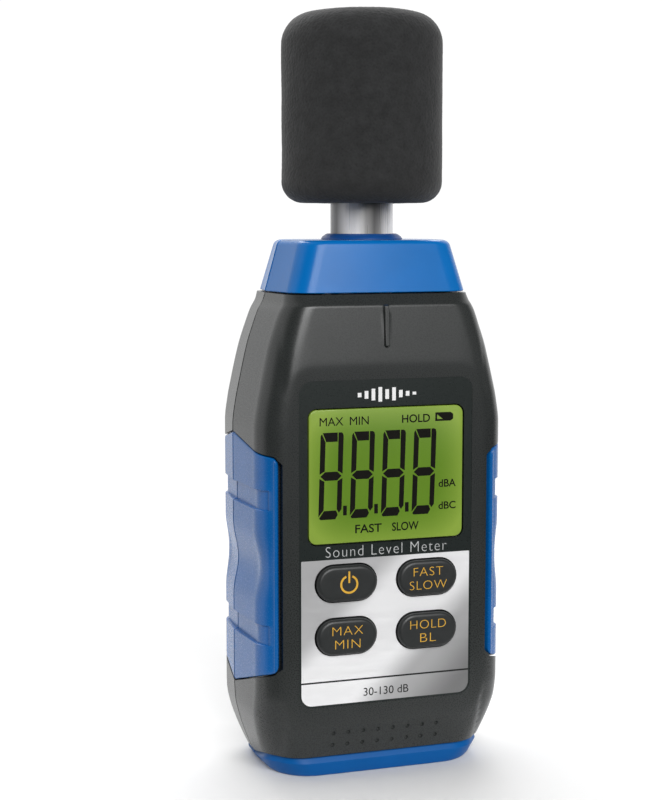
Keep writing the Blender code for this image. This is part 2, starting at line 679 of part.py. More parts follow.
def microphone(tube_material, capsule_material, grid_material, gasket_material, foam_material):
    """Tube, capsule, grid, gasket ring and windscreen on the microphone's axis."""
    low, high = TUBE_Z
    flange_low, flange_high = TUBE_FLANGE_Z
    outside = [(TUBE_BORE, low), (TUBE_RADIUS, low), (TUBE_RADIUS, flange_low), (0.0082, flange_low),
               (0.0082, flange_high), (TUBE_RADIUS, flange_high), (TUBE_RADIUS, high), (TUBE_BORE, high)]
    add("microphone_tube", turned("microphone_tube", "Z", outside, sides=32, loop=True), tube_material)
    capsule = [(0.0050, 0.1385), (0.0050, CAPSULE_Z[0]), (0.0063, CAPSULE_Z[0]), (0.0063, CAPSULE_Z[1])]
    add("microphone_capsule", turned("microphone_capsule", "Z", capsule, sides=28), capsule_material)
    grid = add("microphone_grid", turned("microphone_grid", "Z", [(0.0063, GRID_Z[0]), (0.0063, GRID_Z[1] - 0.0006),
                                                                  (0.0056, GRID_Z[1])], sides=28), grid_material)
    slots = [block("slot", (x - 0.0004, x + 0.0004), (-0.0036, 0.0036), (GRID_Z[0] - 0.0010, GRID_Z[1] + 0.0010))
             for x in (-0.0032, -0.0016, 0.0, 0.0016, 0.0032)]
    combine(grid, "DIFFERENCE", slots)
    ring_z = (CAP_LEVELS[-1][0] + GAP, CAP_LEVELS[-1][0] + 0.0014)
    ring = [(TUBE_RADIUS + GAP, ring_z[0]), (0.0085, ring_z[0]), (0.0085, ring_z[1] - 0.0003),
            (0.0082, ring_z[1]), (TUBE_RADIUS + GAP, ring_z[1])]
    add("tube_gasket", turned("tube_gasket", "Z", ring, sides=32, loop=True), gasket_material)
    windscreen(foam_material)


def windscreen(material):
    """Foam windscreen with a blind socket, with its origin on its axis at its lower face."""
    low, high = SCREEN_Z
    length = high - low
    top_round, low_round = 0.0065, 0.0045
    profile = [(TUBE_RADIUS + GAP, SCREEN_SOCKET_TOP - low), (TUBE_RADIUS + GAP, 0.0)]
    for i in range(5):
        turn = math.radians(90 * i / 4)
        profile.append((SCREEN_RADIUS - low_round * (1 - math.sin(turn)), low_round * (1 - math.cos(turn))))
    for i in range(6):
        turn = math.radians(90 * i / 5)
        profile.append((SCREEN_RADIUS - top_round * (1 - math.cos(turn)),
                        length - top_round * (1 - math.sin(turn))))
    add("windscreen", turned("windscreen", "Z", profile, sides=40), material, (0, 0, low))


def main():
    clear_scene()
    charcoal = finish("charcoal plastic", (0.040, 0.043, 0.043), 0.45)
    blue = finish("blue plastic", (0.010, 0.090, 0.330), 0.40)
    steel = finish("steel", (0.62, 0.62, 0.62), 0.30, 1.0)
    brass = finish("brass", (0.70, 0.50, 0.20), 0.35, 1.0)
    black = finish("black plastic", (0.020, 0.020, 0.020), 0.50)
    front_shell(charcoal)
    rear_shell(charcoal)
    top_caps(blue)
    bottom_caps(blue)
    grips(finish("blue rubber", (0.012, 0.085, 0.300), 0.60))
    face_pieces(finish("printed label", (0.60, 0.61, 0.62), 0.35, 0.5),
                finish("clear window", (0.36, 0.52, 0.08), 0.10))
    keys(finish("key rubber", (0.045, 0.046, 0.048), 0.60))
    display_stack(finish("display glass", (0.34, 0.50, 0.08), 0.15), black,
                  finish("diffuser", (0.85, 0.85, 0.80), 0.50), finish("contact rubber", (0.75, 0.45, 0.45), 0.70))
    electronics(finish("circuit board", (0.020, 0.160, 0.060), 0.50), black, steel,
                finish("mat rubber", (0.30, 0.30, 0.30), 0.70), finish("sleeve", (0.02, 0.03, 0.10), 0.40),
                finish("trimmer blue", (0.03, 0.20, 0.60), 0.40))
    screws(steel)
    battery_tray(black)
    batteries(finish("cell jacket", (0.55, 0.33, 0.08), 0.35), steel, steel)
    leads(black, finish("red sleeve", (0.55, 0.02, 0.02), 0.45), finish("grey sleeve", (0.25, 0.25, 0.25), 0.50))
    cover(charcoal, steel)
    tripod_insert(brass)
    microphone(finish("polished tube", (0.75, 0.75, 0.74), 0.12, 1.0), black, steel,
               finish("blue gasket", (0.010, 0.080, 0.300), 0.50), finish("foam", (0.035, 0.036, 0.037), 0.95))


main()
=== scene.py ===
"""Looks of a handheld sound level meter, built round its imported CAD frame.

Sizes are in metres in the frame's axes: +Z from the base to the microphone, the face towards -Y.
"""
import math

import bpy
import numpy as np
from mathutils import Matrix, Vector, noise


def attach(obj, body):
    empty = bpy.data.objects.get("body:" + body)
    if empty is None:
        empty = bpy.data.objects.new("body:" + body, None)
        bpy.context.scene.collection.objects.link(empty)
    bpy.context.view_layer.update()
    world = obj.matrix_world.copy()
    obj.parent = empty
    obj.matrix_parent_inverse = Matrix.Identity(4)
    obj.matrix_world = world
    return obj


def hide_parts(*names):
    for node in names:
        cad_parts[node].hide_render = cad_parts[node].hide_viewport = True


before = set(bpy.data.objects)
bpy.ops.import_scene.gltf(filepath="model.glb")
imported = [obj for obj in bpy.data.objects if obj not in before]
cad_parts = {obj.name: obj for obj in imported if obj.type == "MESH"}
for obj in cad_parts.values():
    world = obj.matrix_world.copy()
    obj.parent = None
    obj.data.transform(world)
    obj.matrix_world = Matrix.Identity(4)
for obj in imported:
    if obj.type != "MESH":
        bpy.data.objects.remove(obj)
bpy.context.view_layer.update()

GAP = 0.0003                     # clearance between touching pieces
PARTING_Y = 0.0020               # where the front and rear mouldings meet
PARTING_CHAMFER = 0.00026
FACE_Y = -0.0158

# Levels of the body: height, half width at the parting line, rear depth, corner radius, and how far the
# sides lean in between the parting line and the front corners
BODY_LEVELS = (
    (0.0000, 0.0222, 0.0130, 0.0085, 0.0004),
    (0.0004, 0.0227, 0.0134, 0.0085, 0.0004),
    (0.0045, 0.0249, 0.0142, 0.0080, 0.0004),
    (0.0110, 0.0271, 0.0156, 0.0068, 0.0005),
    (0.0145, 0.0278, 0.0158, 0.0062, 0.0007),
    (0.0200, 0.0280, 0.0158, 0.0058, 0.00095),
    (0.0730, 0.0280, 0.0158, 0.0058, 0.00095),
    (0.0780, 0.0274, 0.0158, 0.0058, 0.00095),
    (0.0820, 0.0266, 0.0158, 0.0058, 0.00095),
    (0.0866, 0.0256, 0.0157, 0.0058, 0.00095),
    (0.0900, 0.0248, 0.0154, 0.0058, 0.00095),
    (0.0940, 0.0235, 0.0151, 0.0057, 0.00095),
    (0.0970, 0.0224, 0.0148, 0.0056, 0.00095),
    (0.0990, 0.0213, 0.0145, 0.0054, 0.0009),
    (0.1006, 0.0208, 0.0141, 0.0050, 0.0008),
)
LEVEL_Z, LEVEL_HALF, LEVEL_REAR, LEVEL_RADIUS, LEVEL_DRAFT = np.array(BODY_LEVELS).T
REAR_STRAIGHTER = 0.0003         # the rear half leans in this much less
ARC_X, ARC_RADIUS = 0.02125, 0.0058   # centre and radius of the corners over the grips
SHELL_TOP = 0.1006
STRIP_TOP, STRIP_DROP, STRIP_SWEEP = 0.0042, 0.0021, (-0.0085, 0.0015)
SIDE_WALL, FRONT_WALL, REAR_WALL, CAVITY_CORNER_CUT = 0.0030, 0.0025, 0.0022, 0.0022

# The flat middle of the face ends at two creases that turn down towards the sides
CREASE_TOP, CREASE_BOTTOM = 0.0866, 0.0111
CREASE_HALF, CREASE_CORNER = 0.0219, 0.0060
SLOPE_TOP, SLOPE_BOTTOM = 0.080, 0.245
SHOULDER = ((0.0, 0.0980, 0.0983, 0.0986, 0.0990, 0.1006), (0.0, 0.0, 0.00005, 0.00020, 0.00046, 0.00150))
RIB_Z, RIB_HALF, RIB_PROUD = (0.0904, 0.0985), 0.00060, 0.00060
DIMPLE_Z, DIMPLE_COUNT, DIMPLE_HALF, DIMPLE_RADIUS = (0.0096, 0.0069), 8, 0.0115, 0.00042

# Grips
GRIP_THICK = 0.0016
GRIP_EDGE_X, GRIP_CORNER, GRIP_ROUND = 0.0234, 0.0015, 0.00045
GRIP_ARC = ARC_RADIUS * math.pi / 2
GRIP_EDGE_SPOT = 1 + math.acos((GRIP_EDGE_X - ARC_X) / ARC_RADIUS) / (math.pi / 2)
GROOVE_SPOT = 1 + math.acos((GRIP_EDGE_X - 0.0013 - ARC_X) / ARC_RADIUS) / (math.pi / 2)
GRIP_LOW = (0.0180, 0.0230)      # lower end at the parting line and at the inner edge
GRIP_HIGH = (0.0715, 0.0680)
GRIP_DEPTH = 0.0165              # from the parting line to the inner edge
BANDS = ((0.0570, 0.0612), (0.0290, 0.0332))
BAND_DEPTH, BAND_END = (0.0009, 0.0004), 1.555   # depth at the parting line and at the end over the corner
BEAD_HEIGHT = 0.00022            # raised bead along the inner edge
SCALLOP_Z, SCALLOP_REACH, SCALLOP_DEPTH = 0.0448, 0.0080, 0.0011

# Face
LABEL_HALF, LABEL_Z, LABEL_Y, LABEL_FLOOR_Y = 0.0187, (0.0158, 0.0830), (-0.01575, -0.0152), -0.0149
LABEL_CORNER, LABEL_GROWTH = 0.0024, 0.00027
WINDOW_HALF, WINDOW_Z, WINDOW_CORNER = 0.0169, (0.0497, 0.0774), 0.0017
PANEL_TOP, DIVIDER_Z, DIVIDER_HALF = 0.0464, 0.0208, 0.00017
PRINT = 0.00003                  # thickness of printed ink
KEY_X, KEY_Z, KEY_RADIUS, KEY_STRAIGHT = 0.0089, (0.0302, 0.0414), 0.00375, 0.0028
KEY_FACE_Y, KEY_FLANGE_Y, KEY_TIP_Y, KEY_ROUND = -0.01695, (-0.0129, -0.0120), -0.0090, 0.0008
KEYS = {"key_max_min": (-1, 0), "key_hold_light": (1, 0), "key_power": (-1, 1), "key_fast_slow": (1, 1)}

# Screws, batteries, cover, tripod insert
CASE_SCREWS = tuple((side * x, z) for x, z in ((0.0210, 0.0132), (0.0182, 0.0920)) for side in (1, -1))
SCREW_SHANK, SCREW_HEAD, HEAD_Y = 0.0012, 0.0023, (0.0053, 0.0071)
CELL_RADIUS, CELL_LENGTH, CELL_PITCH, CELL_Y, CELL_BOTTOM = 0.00525, 0.0445, 0.0115, 0.0069, 0.0210
TRAY_Z, TRAY_WALL = (0.0189, 0.0726), 0.0012
COVER_HALF, COVER_Z, COVER_Y, COVER_SCREW_Z = 0.0190, (0.0160, 0.0785), (0.0140, 0.0158), 0.0752
TAB_X, TAB_Y, TAB_Z = 0.0100, (0.0125, 0.0144), (0.0132, 0.0166)
INSERT_Z, INSERT_Y = 0.0868, (0.0088, 0.0156)
INSERT_RADIUS, INSERT_FLANGE, INSERT_BORE = 0.0044, 0.0056, 0.003175
THREAD_PITCH, THREAD_DEPTH = 0.00127, 0.00055

# Microphone end
CAP_Z, CAP_TOP_ROUND = (0.1009, 0.1116), 0.0011
# Half width, front depth, rear depth and corner radius of the cap at its base and top
CAP_BASE, CAP_TOP = (0.0208, 0.0133, 0.0142, 0.0050), (0.0178, 0.0119, 0.0130, 0.0050)
CAP_DRAFT = 0.0012
TUBE_RADIUS, TUBE_BORE, TUBE_Z = 0.0066, 0.0058, (0.0950, 0.1410)
CAPSULE_Z, GRID_Z, GRID_RADIUS = (0.1413, 0.1460), (0.1463, 0.1480), 0.0063
SCREEN_RADIUS, SCREEN_Z, SOCKET_TOP = 0.0170, (0.1192, 0.1587), 0.1490
SCREEN_TOP_ROUND, SCREEN_LOW_ROUND = 0.0065, 0.0045

# Stage: lights are name, power, size, place and target; turns are degrees right of the face's own direction
FLOOR_CENTRE, FLOOR_FADE = (0.05, 0.16), (0.15, 0.26)
BACKDROP_TURN, SOFTBOX_TURN, SOFTBOX_EDGE_TURN, SOFTBOX_LEVEL, AMBIENT = -170, 40, -50, 1.7, 0.03
LIGHTS = (
    ("key", 19.0, (0.9, 0.9), (-0.02, -1.20, 0.72), (0, 0, 0.08)),
    ("top", 21.0, (1.4, 1.0), (0.25, 1.1, 1.3), (0.05, 0.1, 0.0)),
)
CAMERA_PLACE, CAMERA_TURN, CAMERA_PITCH, CAMERA_LENS = (-0.11861, -0.33106, 0.11600), 18.673, 6.276, 74.25


# ---------------------------------------------------------------- meshes

def monotone(xs, ys, at):
    """Values at some places on a smooth curve through the listed ones that never overshoots them."""
    xs, ys, at = np.asarray(xs, float), np.asarray(ys, float), np.asarray(at, float)
    step = np.diff(xs)
    slope = np.diff(ys) / step
    tangent = np.concatenate([[slope[0]], np.zeros(len(xs) - 2), [slope[-1]]])
    same = slope[:-1] * slope[1:] > 0
    before, after = slope[:-1][same], slope[1:][same]
    tangent[1:-1][same] = 2 * before * after / (before + after)
    at = np.clip(at, xs[0], xs[-1])
    i = np.clip(np.searchsorted(xs, at, side="right") - 1, 0, len(xs) - 2)
    h = step[i]
    t = (at - xs[i]) / h
    return (ys[i] * (1 + 2 * t) * (1 - t) ** 2 + ys[i + 1] * t * t * (3 - 2 * t)
            + h * (tangent[i] * t * (1 - t) ** 2 - tangent[i + 1] * t * t * (1 - t)))


def smooth(value):
    """Eased step from 0 to 1."""
    value = np.clip(value, 0.0, 1.0)
    return value * value * (3 - 2 * value)


def round_over(edge, radius):
    """How far a rounded edge falls away at a distance from it."""
    short = np.clip(radius - np.asarray(edge, float), 0.0, radius)
    return radius - np.sqrt(radius ** 2 - short ** 2)


def quarter(steps, first=1):
    """How far the points of a quarter round fall short of its corner, along and across."""
    turns = [math.radians(90 * i / steps) for i in range(first, steps + 1)]
    return [(1 - math.sin(turn), 1 - math.cos(turn)) for turn in turns]


def rectangle(left, right, low, high):
    """Corners of a rectangle as X and Z points."""
    return [(left, low), (right, low), (right, high), (left, high)]


def spread(*stops):
    """Evenly spaced values between stops, given as value, steps, value, steps, value and so on."""
    parts = [np.linspace(stops[i], stops[i + 2], stops[i + 1], endpoint=False)
             for i in range(0, len(stops) - 2, 2)]
    return np.concatenate(parts + [[stops[-1]]])


def make(name, points, faces, sharp=34):
    """An object from points and faces, with its faces turned outward if it is closed."""
    points = np.asarray(points, float).reshape(-1, 3)
    volume = 0.0
    for face in faces:
        a, b, c = points[face[0]], points[face[1]], points[face[2]]
        volume += np.dot(a, np.cross(b, c))
        for k in range(3, len(face)):
            volume += np.dot(a, np.cross(points[face[k - 1]], points[face[k]]))
    if volume < 0:
        faces = [tuple(reversed(face)) for face in faces]
    mesh = bpy.data.meshes.new(name)
    mesh.from_pydata(points.tolist(), [], [tuple(int(i) for i in face) for face in faces])
    shade(mesh, sharp)
    item = bpy.data.objects.new(name, mesh)
    bpy.context.scene.collection.objects.link(item)
    return item


def shade(mesh, sharp=34):
    """Smooth faces that meet at sharp edges."""
    mesh.shade_smooth()
    mesh.set_sharp_from_angle(angle=math.radians(sharp))


def solid(name, rings, loop=False, sharp=34):
    """A closed body through rings of points. A ring given as one point closes an end to a tip."""
    points, starts, faces = [], [], []
    for ring in rings:
        starts.append(len(points))
        points.extend(ring)
    pairs = list(zip(range(len(rings)), range(1, len(rings))))
    if loop:
        pairs.append((len(rings) - 1, 0))
    else:
        for end, flip in ((0, True), (len(rings) - 1, False)):
            if len(rings[end]) > 1:
                face = [starts[end] + i for i in range(len(rings[end]))]
                faces.append(tuple(reversed(face)) if flip else tuple(face))
    for low, high in pairs:
        a, b, m, n = starts[low], starts[high], len(rings[low]), len(rings[high])
        for i in range(max(m, n)):
            j = (i + 1) % max(m, n)
            if m == 1:
                faces.append((a, b + j, b + i))
            elif n == 1:
                faces.append((a + i, a + j, b))
            else:
                faces.append((a + i, a + j, b + j, b + i))
    return make(name, points, faces, sharp)


def slab(name, under, over, sharp=34):
    """A closed body between two grids of the same size."""
    rows, columns = over.shape[:2]
    points = np.concatenate([over.reshape(-1, 3), under.reshape(-1, 3)])
    grid = np.arange(rows * columns).reshape(rows, columns)
    faces = np.stack([grid[:-1, :-1], grid[:-1, 1:], grid[1:, 1:], grid[1:, :-1]], -1).reshape(-1, 4)
    below = faces[:, ::-1] + rows * columns
    rim = np.concatenate([grid[0, :-1], grid[:-1, -1], grid[-1, :0:-1], grid[:0:-1, 0]])
    follow = np.roll(rim, -1)
    walls = np.stack([follow, rim, rim + rows * columns, follow + rows * columns], -1)
    return make(name, points, [tuple(f) for f in np.concatenate([faces, below, walls]).tolist()], sharp)


def place(axis, across, up, along):
    """A point from two coordinates across an axis and one along it."""
    return {"X": (along, across, up), "Y": (across, along, up), "Z": (across, up, along)}[axis]


def disc(axis, radius, along, centre=(0, 0), sides=48):
    """A round ring across an axis, or its middle point."""
    if radius < 1e-7:
        return [place(axis, *centre, along)]
    turns = [2 * math.pi * i / sides for i in range(sides)]
    return [place(axis, centre[0] + radius * math.cos(t), centre[1] + radius * math.sin(t), along) for t in turns]


def turned(name, axis, profile, centre=(0, 0), sides=48, loop=False, sharp=34):
    """A turned body from radius and place along its axis."""
    return solid(name, [disc(axis, r, along, centre, sides) for r, along in profile], loop, sharp)


def rounded(half, span, corners, y, steps=8, inset=0.0):
    """A rounded rectangle facing Y: corners gives the lower and upper corner radius."""
    low, high = span[0] + inset, span[1] - inset
    half -= inset
    small, large = (max(radius - inset, 0.00002) for radius in corners)
    ring = []
    for side, level, radius, start in ((1, low, small, -90), (1, high, large, 0),
                                       (-1, high, large, 90), (-1, low, small, 180)):
        up = level + radius if start in (-90, 180) else level - radius
        for i in range(steps + 1):
            turn = math.radians(start + 90 * i / steps)
            ring.append((side * (half - radius) + radius * math.cos(turn), y, up + radius * math.sin(turn)))
    return ring


def stadium(radius, straight, y, centre=(0, 0), steps=16):
    """A ring with two round ends, facing Y."""
    ring = []
    for side, start in ((1, -90), (-1, 90)):
        for i in range(steps + 1):
            turn = math.radians(start + 180 * i / steps)
            ring.append((centre[0] + side * straight + radius * math.cos(turn), y,
                         centre[1] + radius * math.sin(turn)))
    return ring


def plate(name, half, span, corners, y_face, y_back, edge=0.0):
    """A rounded plate whose edge at y_face is rounded over."""
    turn = 1 if y_back > y_face else -1
    rings = [rounded(half, span, corners, y_back)]
    for along, across in quarter(4, 0)[:5 if edge else 1]:
        rings.append(rounded(half, span, corners, y_face + turn * edge * along, inset=edge * across))
    return solid(name, rings)


def block(name, x_span, y_span, z_span):
    """A rectangular block."""
    corners = ((0, 0), (1, 0), (1, 1), (0, 1))
    return solid(name, [[(x_span[i], y_span[j], z) for i, j in corners] for z in z_span])


def joined(name, items, sharp=34):
    """One object from several separate ones."""
    points, faces = [], []
    for item in items:
        start = len(points)
        points.extend(v.co[:] for v in item.data.vertices)
        faces.extend(tuple(start + i for i in polygon.vertices) for polygon in item.data.polygons)
        bpy.data.objects.remove(item)
    mesh = bpy.data.meshes.new(name)
    mesh.from_pydata(points, [], faces)
    shade(mesh, sharp)
    result = bpy.data.objects.new(name, mesh)
    bpy.context.scene.collection.objects.link(result)
    return result


def combine(item, *steps, sharp=34):
    """Cut ("DIFFERENCE") or add ("UNION") closed tools, which are used up."""
    tools = []
    for operation, tool in steps:
        modifier = item.modifiers.new("step", "BOOLEAN")
        modifier.operation = operation
        modifier.solver = "MANIFOLD"
        modifier.object = tool
        tools.append(tool)
    bpy.context.view_layer.update()
    shaped = bpy.data.meshes.new_from_object(item.evaluated_get(bpy.context.evaluated_depsgraph_get()))
    item.modifiers.clear()
    item.data = shaped
    for tool in tools:
        bpy.data.objects.remove(tool)
    shade(shaped, sharp)
    return item


# ---------------------------------------------------------------- the body's surface

def set_back(x, z):
    """How far the face lies behind its flat middle."""
    across = np.clip((np.abs(x) - (CREASE_HALF - CREASE_CORNER)) / CREASE_CORNER, 0, 1)
    bow = CREASE_CORNER * (1 - np.sqrt(1 - across ** 2)) + 0.0004 * (x / CREASE_HALF) ** 2
    above, below = z - CREASE_TOP + bow, CREASE_BOTTOM + bow - z
    ramp_above = 0.5 * (above + np.sqrt(above ** 2 + 0.0007 ** 2))
    ramp_below = 0.5 * (below + np.sqrt(below ** 2 + 0.0003 ** 2))
    return SLOPE_TOP * ramp_above + SLOPE_BOTTOM * ramp_below


def rib(x, z):
    """Height of the short rib under the cap."""
    along = np.clip(z, *RIB_Z)
    distance = np.sqrt(x ** 2 + (z - along) ** 2)
    return RIB_PROUD * smooth((RIB_HALF - distance) / 0.00022) * smooth((0.0986 - z) / 0.0004)


def body(side, facing, spots, heights, lift=0.0, gap=GAP / 2):
    """Points of the body's surface, moved outward by lift. A spot runs from 0 at the parting line over the side
    to 1, round the corner to 2 and over the face to 3 at the middle."""
    spots, z, lift = np.broadcast_arrays(spots, heights, lift)
    half, rear, radius, draft = (monotone(LEVEL_Z, column, z)
                                 for column in (LEVEL_HALF, LEVEL_REAR, LEVEL_RADIUS, LEVEL_DRAFT))
    if facing > 0:
        draft = draft - REAR_STRAIGHTER
    depth = rear if facing > 0 else -FACE_Y - monotone(*SHOULDER, z)
    parting = PARTING_Y + facing * gap
    turn = np.clip(spots - 1, 0, 1) * math.pi / 2
    share = np.minimum(spots, 1)
    across, out_x, out_y = half - radius - draft, np.cos(turn), facing * np.sin(turn)
    x = np.where(spots > 2, across * (3 - spots), across + radius * out_x + draft * (1 - np.clip(share, 0, 1)))
    x = x + lift * out_x
    y = parting + (facing * (depth - radius) - parting) * share + radius * out_y
    if facing < 0:
        back = set_back(x, z)
        y = np.where(spots > 0, parting + (y - parting) * (1 - back / (depth + parting)), y)
        y = y - rib(x, z)
    return np.stack([side * x, y + lift * out_y, z], -1)


def half_rings(facing, columns, heights, lift=0.0):
    """Rings of one half of the body, from one side of the parting line to the other."""
    rows = np.asarray(heights, float)
    if rows.ndim == 1:
        rows = rows[:, None]
    rows = np.broadcast_to(rows, (rows.shape[0], len(columns)))
    lift = np.asarray(lift, float) - PARTING_CHAMFER * (columns == 0)[None, :]
    left = body(-1, facing, columns[None, :], rows, lift)
    right = body(1, facing, columns[None, ::-1], rows[:, ::-1], lift[:, ::-1])
    return [list(map(tuple, ring)) for ring in np.concatenate([left, right[:, 1:]], 1)]


SIDE_COLUMNS = spread(0.0, 1, 0.014, 10, 1.0, 16, 2.0)


def shell_columns(facing):
    """Columns of a shell from its parting line to the middle of its face."""
    if facing > 0:
        face = spread(ARC_X, 12, 0.0)
    else:
        face = spread(ARC_X, 30, 0.0010, 1, 0.0007, 1, 0.0006, 1, 0.0005, 1, 0.0004, 1, 0.0003, 1, 0.0)
    return np.concatenate([SIDE_COLUMNS[:-1], 3 - face / ARC_X])


def strip_top(facing, columns):
    """Height of the strip's upper edge, which sweeps down from the face towards the parting line."""
    y = body(1, facing, columns, 0.003)[..., 1]
    return STRIP_TOP - STRIP_DROP * smooth((y - STRIP_SWEEP[0]) / (STRIP_SWEEP[1] - STRIP_SWEEP[0]))


def shell_heights(facing, columns):
    """Rows of a shell, close together at creases and edges, its lowest ones fanned down to the strip."""
    low = STRIP_TOP + GAP
    if facing > 0:
        rows = spread(low, 10, 0.0115, 60, 0.0940, 12, 0.0990, 8, SHELL_TOP)
    else:
        rows = spread(low, 12, 0.0100, 12, 0.0120, 14, 0.0200, 50, 0.0740, 18, 0.0846, 14, 0.0880, 6,
                      0.0896, 10, 0.0908, 12, 0.0976, 18, 0.0994, 6, SHELL_TOP)
    fade = np.clip((0.0100 - rows) / (0.0100 - low), 0, 1)[:, None]
    return rows[:, None] + fade * (strip_top(facing, columns) + GAP - low)[None, :]


def level_ring(z, half, front, rear, radius, steps=8):
    """The whole outline at one level."""
    corners = ((radius - half, radius - front, 180), (half - radius, radius - front, 270),
               (half - radius, rear - radius, 0), (radius - half, rear - radius, 90))
    return [(x + radius * math.cos(t), y + radius * math.sin(t), z) for x, y, start in corners
            for t in (math.radians(start + 90 * i / steps) for i in range(steps + 1))]


def shell_cavity():
    """The space inside both shells."""
    rings = []
    for z, half, rear, radius, draft in BODY_LEVELS[2:]:
        front = -FACE_Y - float(set_back(0.0, z)) - float(monotone(*SHOULDER, z))
        rings.append(level_ring(z, half - draft - SIDE_WALL, front - FRONT_WALL, rear - REAR_WALL,
                                radius - CAVITY_CORNER_CUT))
    first, last = rings[0], rings[-1]
    return solid("cavity", [[(x, y, z - 0.001) for x, y, z in first]] + rings
                 + [[(x, y, z + 0.002) for x, y, z in last]])


def grip_span(side, facing, spots, margin=0.0):
    """Lower and upper end of a grip at each spot."""
    y = body(side, facing, spots, 0.045)[..., 1]
    share = np.abs(y - PARTING_Y) / GRIP_DEPTH
    end = GRIP_EDGE_SPOT if margin == 0 else GRIP_EDGE_SPOT + 0.02
    nook = round_over(np.clip(end - spots, 0, 1) * GRIP_ARC, GRIP_CORNER)
    low = GRIP_LOW[0] + (GRIP_LOW[1] - GRIP_LOW[0]) * share + nook
    high = GRIP_HIGH[0] + (GRIP_HIGH[1] - GRIP_HIGH[0]) * share - nook
    return low - margin, high + margin


def grip_rows(low, high, rows):
    """Heights on each column for a grip's rows, level in the middle and fanned at its ends."""
    first, last = rows[0], rows[-1]
    bend_low, bend_high = 0.0265, 0.0648
    rows = rows[:, None]
    fan_low = low + (rows - first) * (bend_low - low) / (bend_low - first)
    fan_high = bend_high + (rows - bend_high) * (high - bend_high) / (last - bend_high)
    return np.where(rows < bend_low, fan_low, np.where(rows > bend_high, fan_high, rows))


def grip_shape(spots, z, low, high):
    """How far a grip's surface stands out from or behind the body's."""
    edge_in = (GRIP_EDGE_SPOT - spots) * GRIP_ARC
    edge = np.minimum(edge_in, np.minimum(z - low, high - z))
    lift = -round_over(edge, GRIP_ROUND) - PARTING_CHAMFER * (spots == 0)
    lift = lift + BEAD_HEIGHT * np.exp(-((edge_in - 0.00055) / 0.00028) ** 2)
    depth = BAND_DEPTH[0] + (BAND_DEPTH[1] - BAND_DEPTH[0]) * np.clip(spots / BAND_END, 0, 1)
    for bottom, top in BANDS:
        inside = smooth((z - bottom) / 0.00012) * smooth((top - z) / 0.00030)
        lift = lift - depth * (inside * smooth((BAND_END - spots) / 0.022))
    bump = np.cos(np.clip((z - SCALLOP_Z) / SCALLOP_REACH, -1, 1) * math.pi / 2) ** 2
    return lift - SCALLOP_DEPTH * bump * (1 - smooth((spots - 0.95) / 0.75))


def grip(side, facing):
    """A soft grip over the side and the corner."""
    spots = np.concatenate([spread(0.0, 1, 0.014, 9, 1.0, 14, BAND_END - 0.024, 5, BAND_END + 0.002),
                            GRIP_EDGE_SPOT - spread(0.00095, 4, 0.00045, 6, 0.0) / GRIP_ARC])
    rows = spread(0.0180, 6, 0.0185, 12, 0.0265, 4, 0.0288, 5, 0.0292, 6, 0.0326, 5, 0.0334, 30, 0.0568, 5,
                  0.0572, 6, 0.0606, 5, 0.0614, 5, 0.0648, 9, 0.0710, 6, 0.0715)
    low, high = grip_span(side, facing, spots)
    z = grip_rows(low, high, rows)
    over = body(side, facing, spots[None, :], z, grip_shape(spots[None, :], z, low, high))
    under = body(side, facing, spots[None, :], z, -GRIP_THICK)
    return slab("grip", under, over, sharp=40)


def pocket(side, facing):
    """The space that a grip and the groove beside it take out of a shell."""
    rows = spread(0.0180, 12, 0.0265, 16, 0.0648, 12, 0.0715)
    grids = []
    for end, lift in ((GRIP_EDGE_SPOT + 0.035, -GRIP_THICK - GAP), (GROOVE_SPOT, 0.0020)):
        spots = np.concatenate([spread(-0.35, 10, 0.9), spread(0.94, 26, end)])
        low, high = grip_span(side, facing, np.clip(spots, 0, GRIP_EDGE_SPOT + 0.02), GAP)
        grids.append(body(side, facing, spots[None, :], grip_rows(low, high, rows), lift, gap=0.0))
    return slab("pocket", *grids)


def key_points():
    """Each key's name and centre."""
    return [(name, side * KEY_X, KEY_Z[row]) for name, (side, row) in KEYS.items()]


def key_holes():
    """Clearance holes for the keys."""
    return joined("key_holes", [
        solid("hole", [stadium(KEY_RADIUS + GAP, KEY_STRAIGHT, y, (x, z)) for y in (-0.0190, -0.0120)])
        for _, x, z in key_points()])


def window_hole():
    """Clearance hole for the display window."""
    span = (WINDOW_Z[0] - GAP, WINDOW_Z[1] + GAP)
    return solid("window", [rounded(WINDOW_HALF + GAP, span, (WINDOW_CORNER + GAP,) * 2, y)
                            for y in (-0.0190, -0.0120)])


def rods(name, radius, span, points, sides=24):
    """Round bars along Y at several points, as one tool."""
    return joined(name, [turned(name, "Y", [(radius, span[0]), (radius, span[1])], point, sides)
                         for point in points])


def dimples():
    """Two rows of small pits above the base."""
    pits = []
    for z in DIMPLE_Z:
        for i in range(DIMPLE_COUNT):
            x = DIMPLE_HALF * (2 * i / (DIMPLE_COUNT - 1) - 1)
            y = body(1, -1, 3 - abs(x) / ARC_X, z)[1]
            pits.append(turned("pit", "Y", [(DIMPLE_RADIUS + 0.0002, y - 0.0006), (DIMPLE_RADIUS + 0.00006, y),
                                            (DIMPLE_RADIUS - 0.00005, y + 0.00022), (0.0002, y + 0.00038),
                                            (0, y + 0.0004)], (x, z), 16))
    return joined("dimples", pits)


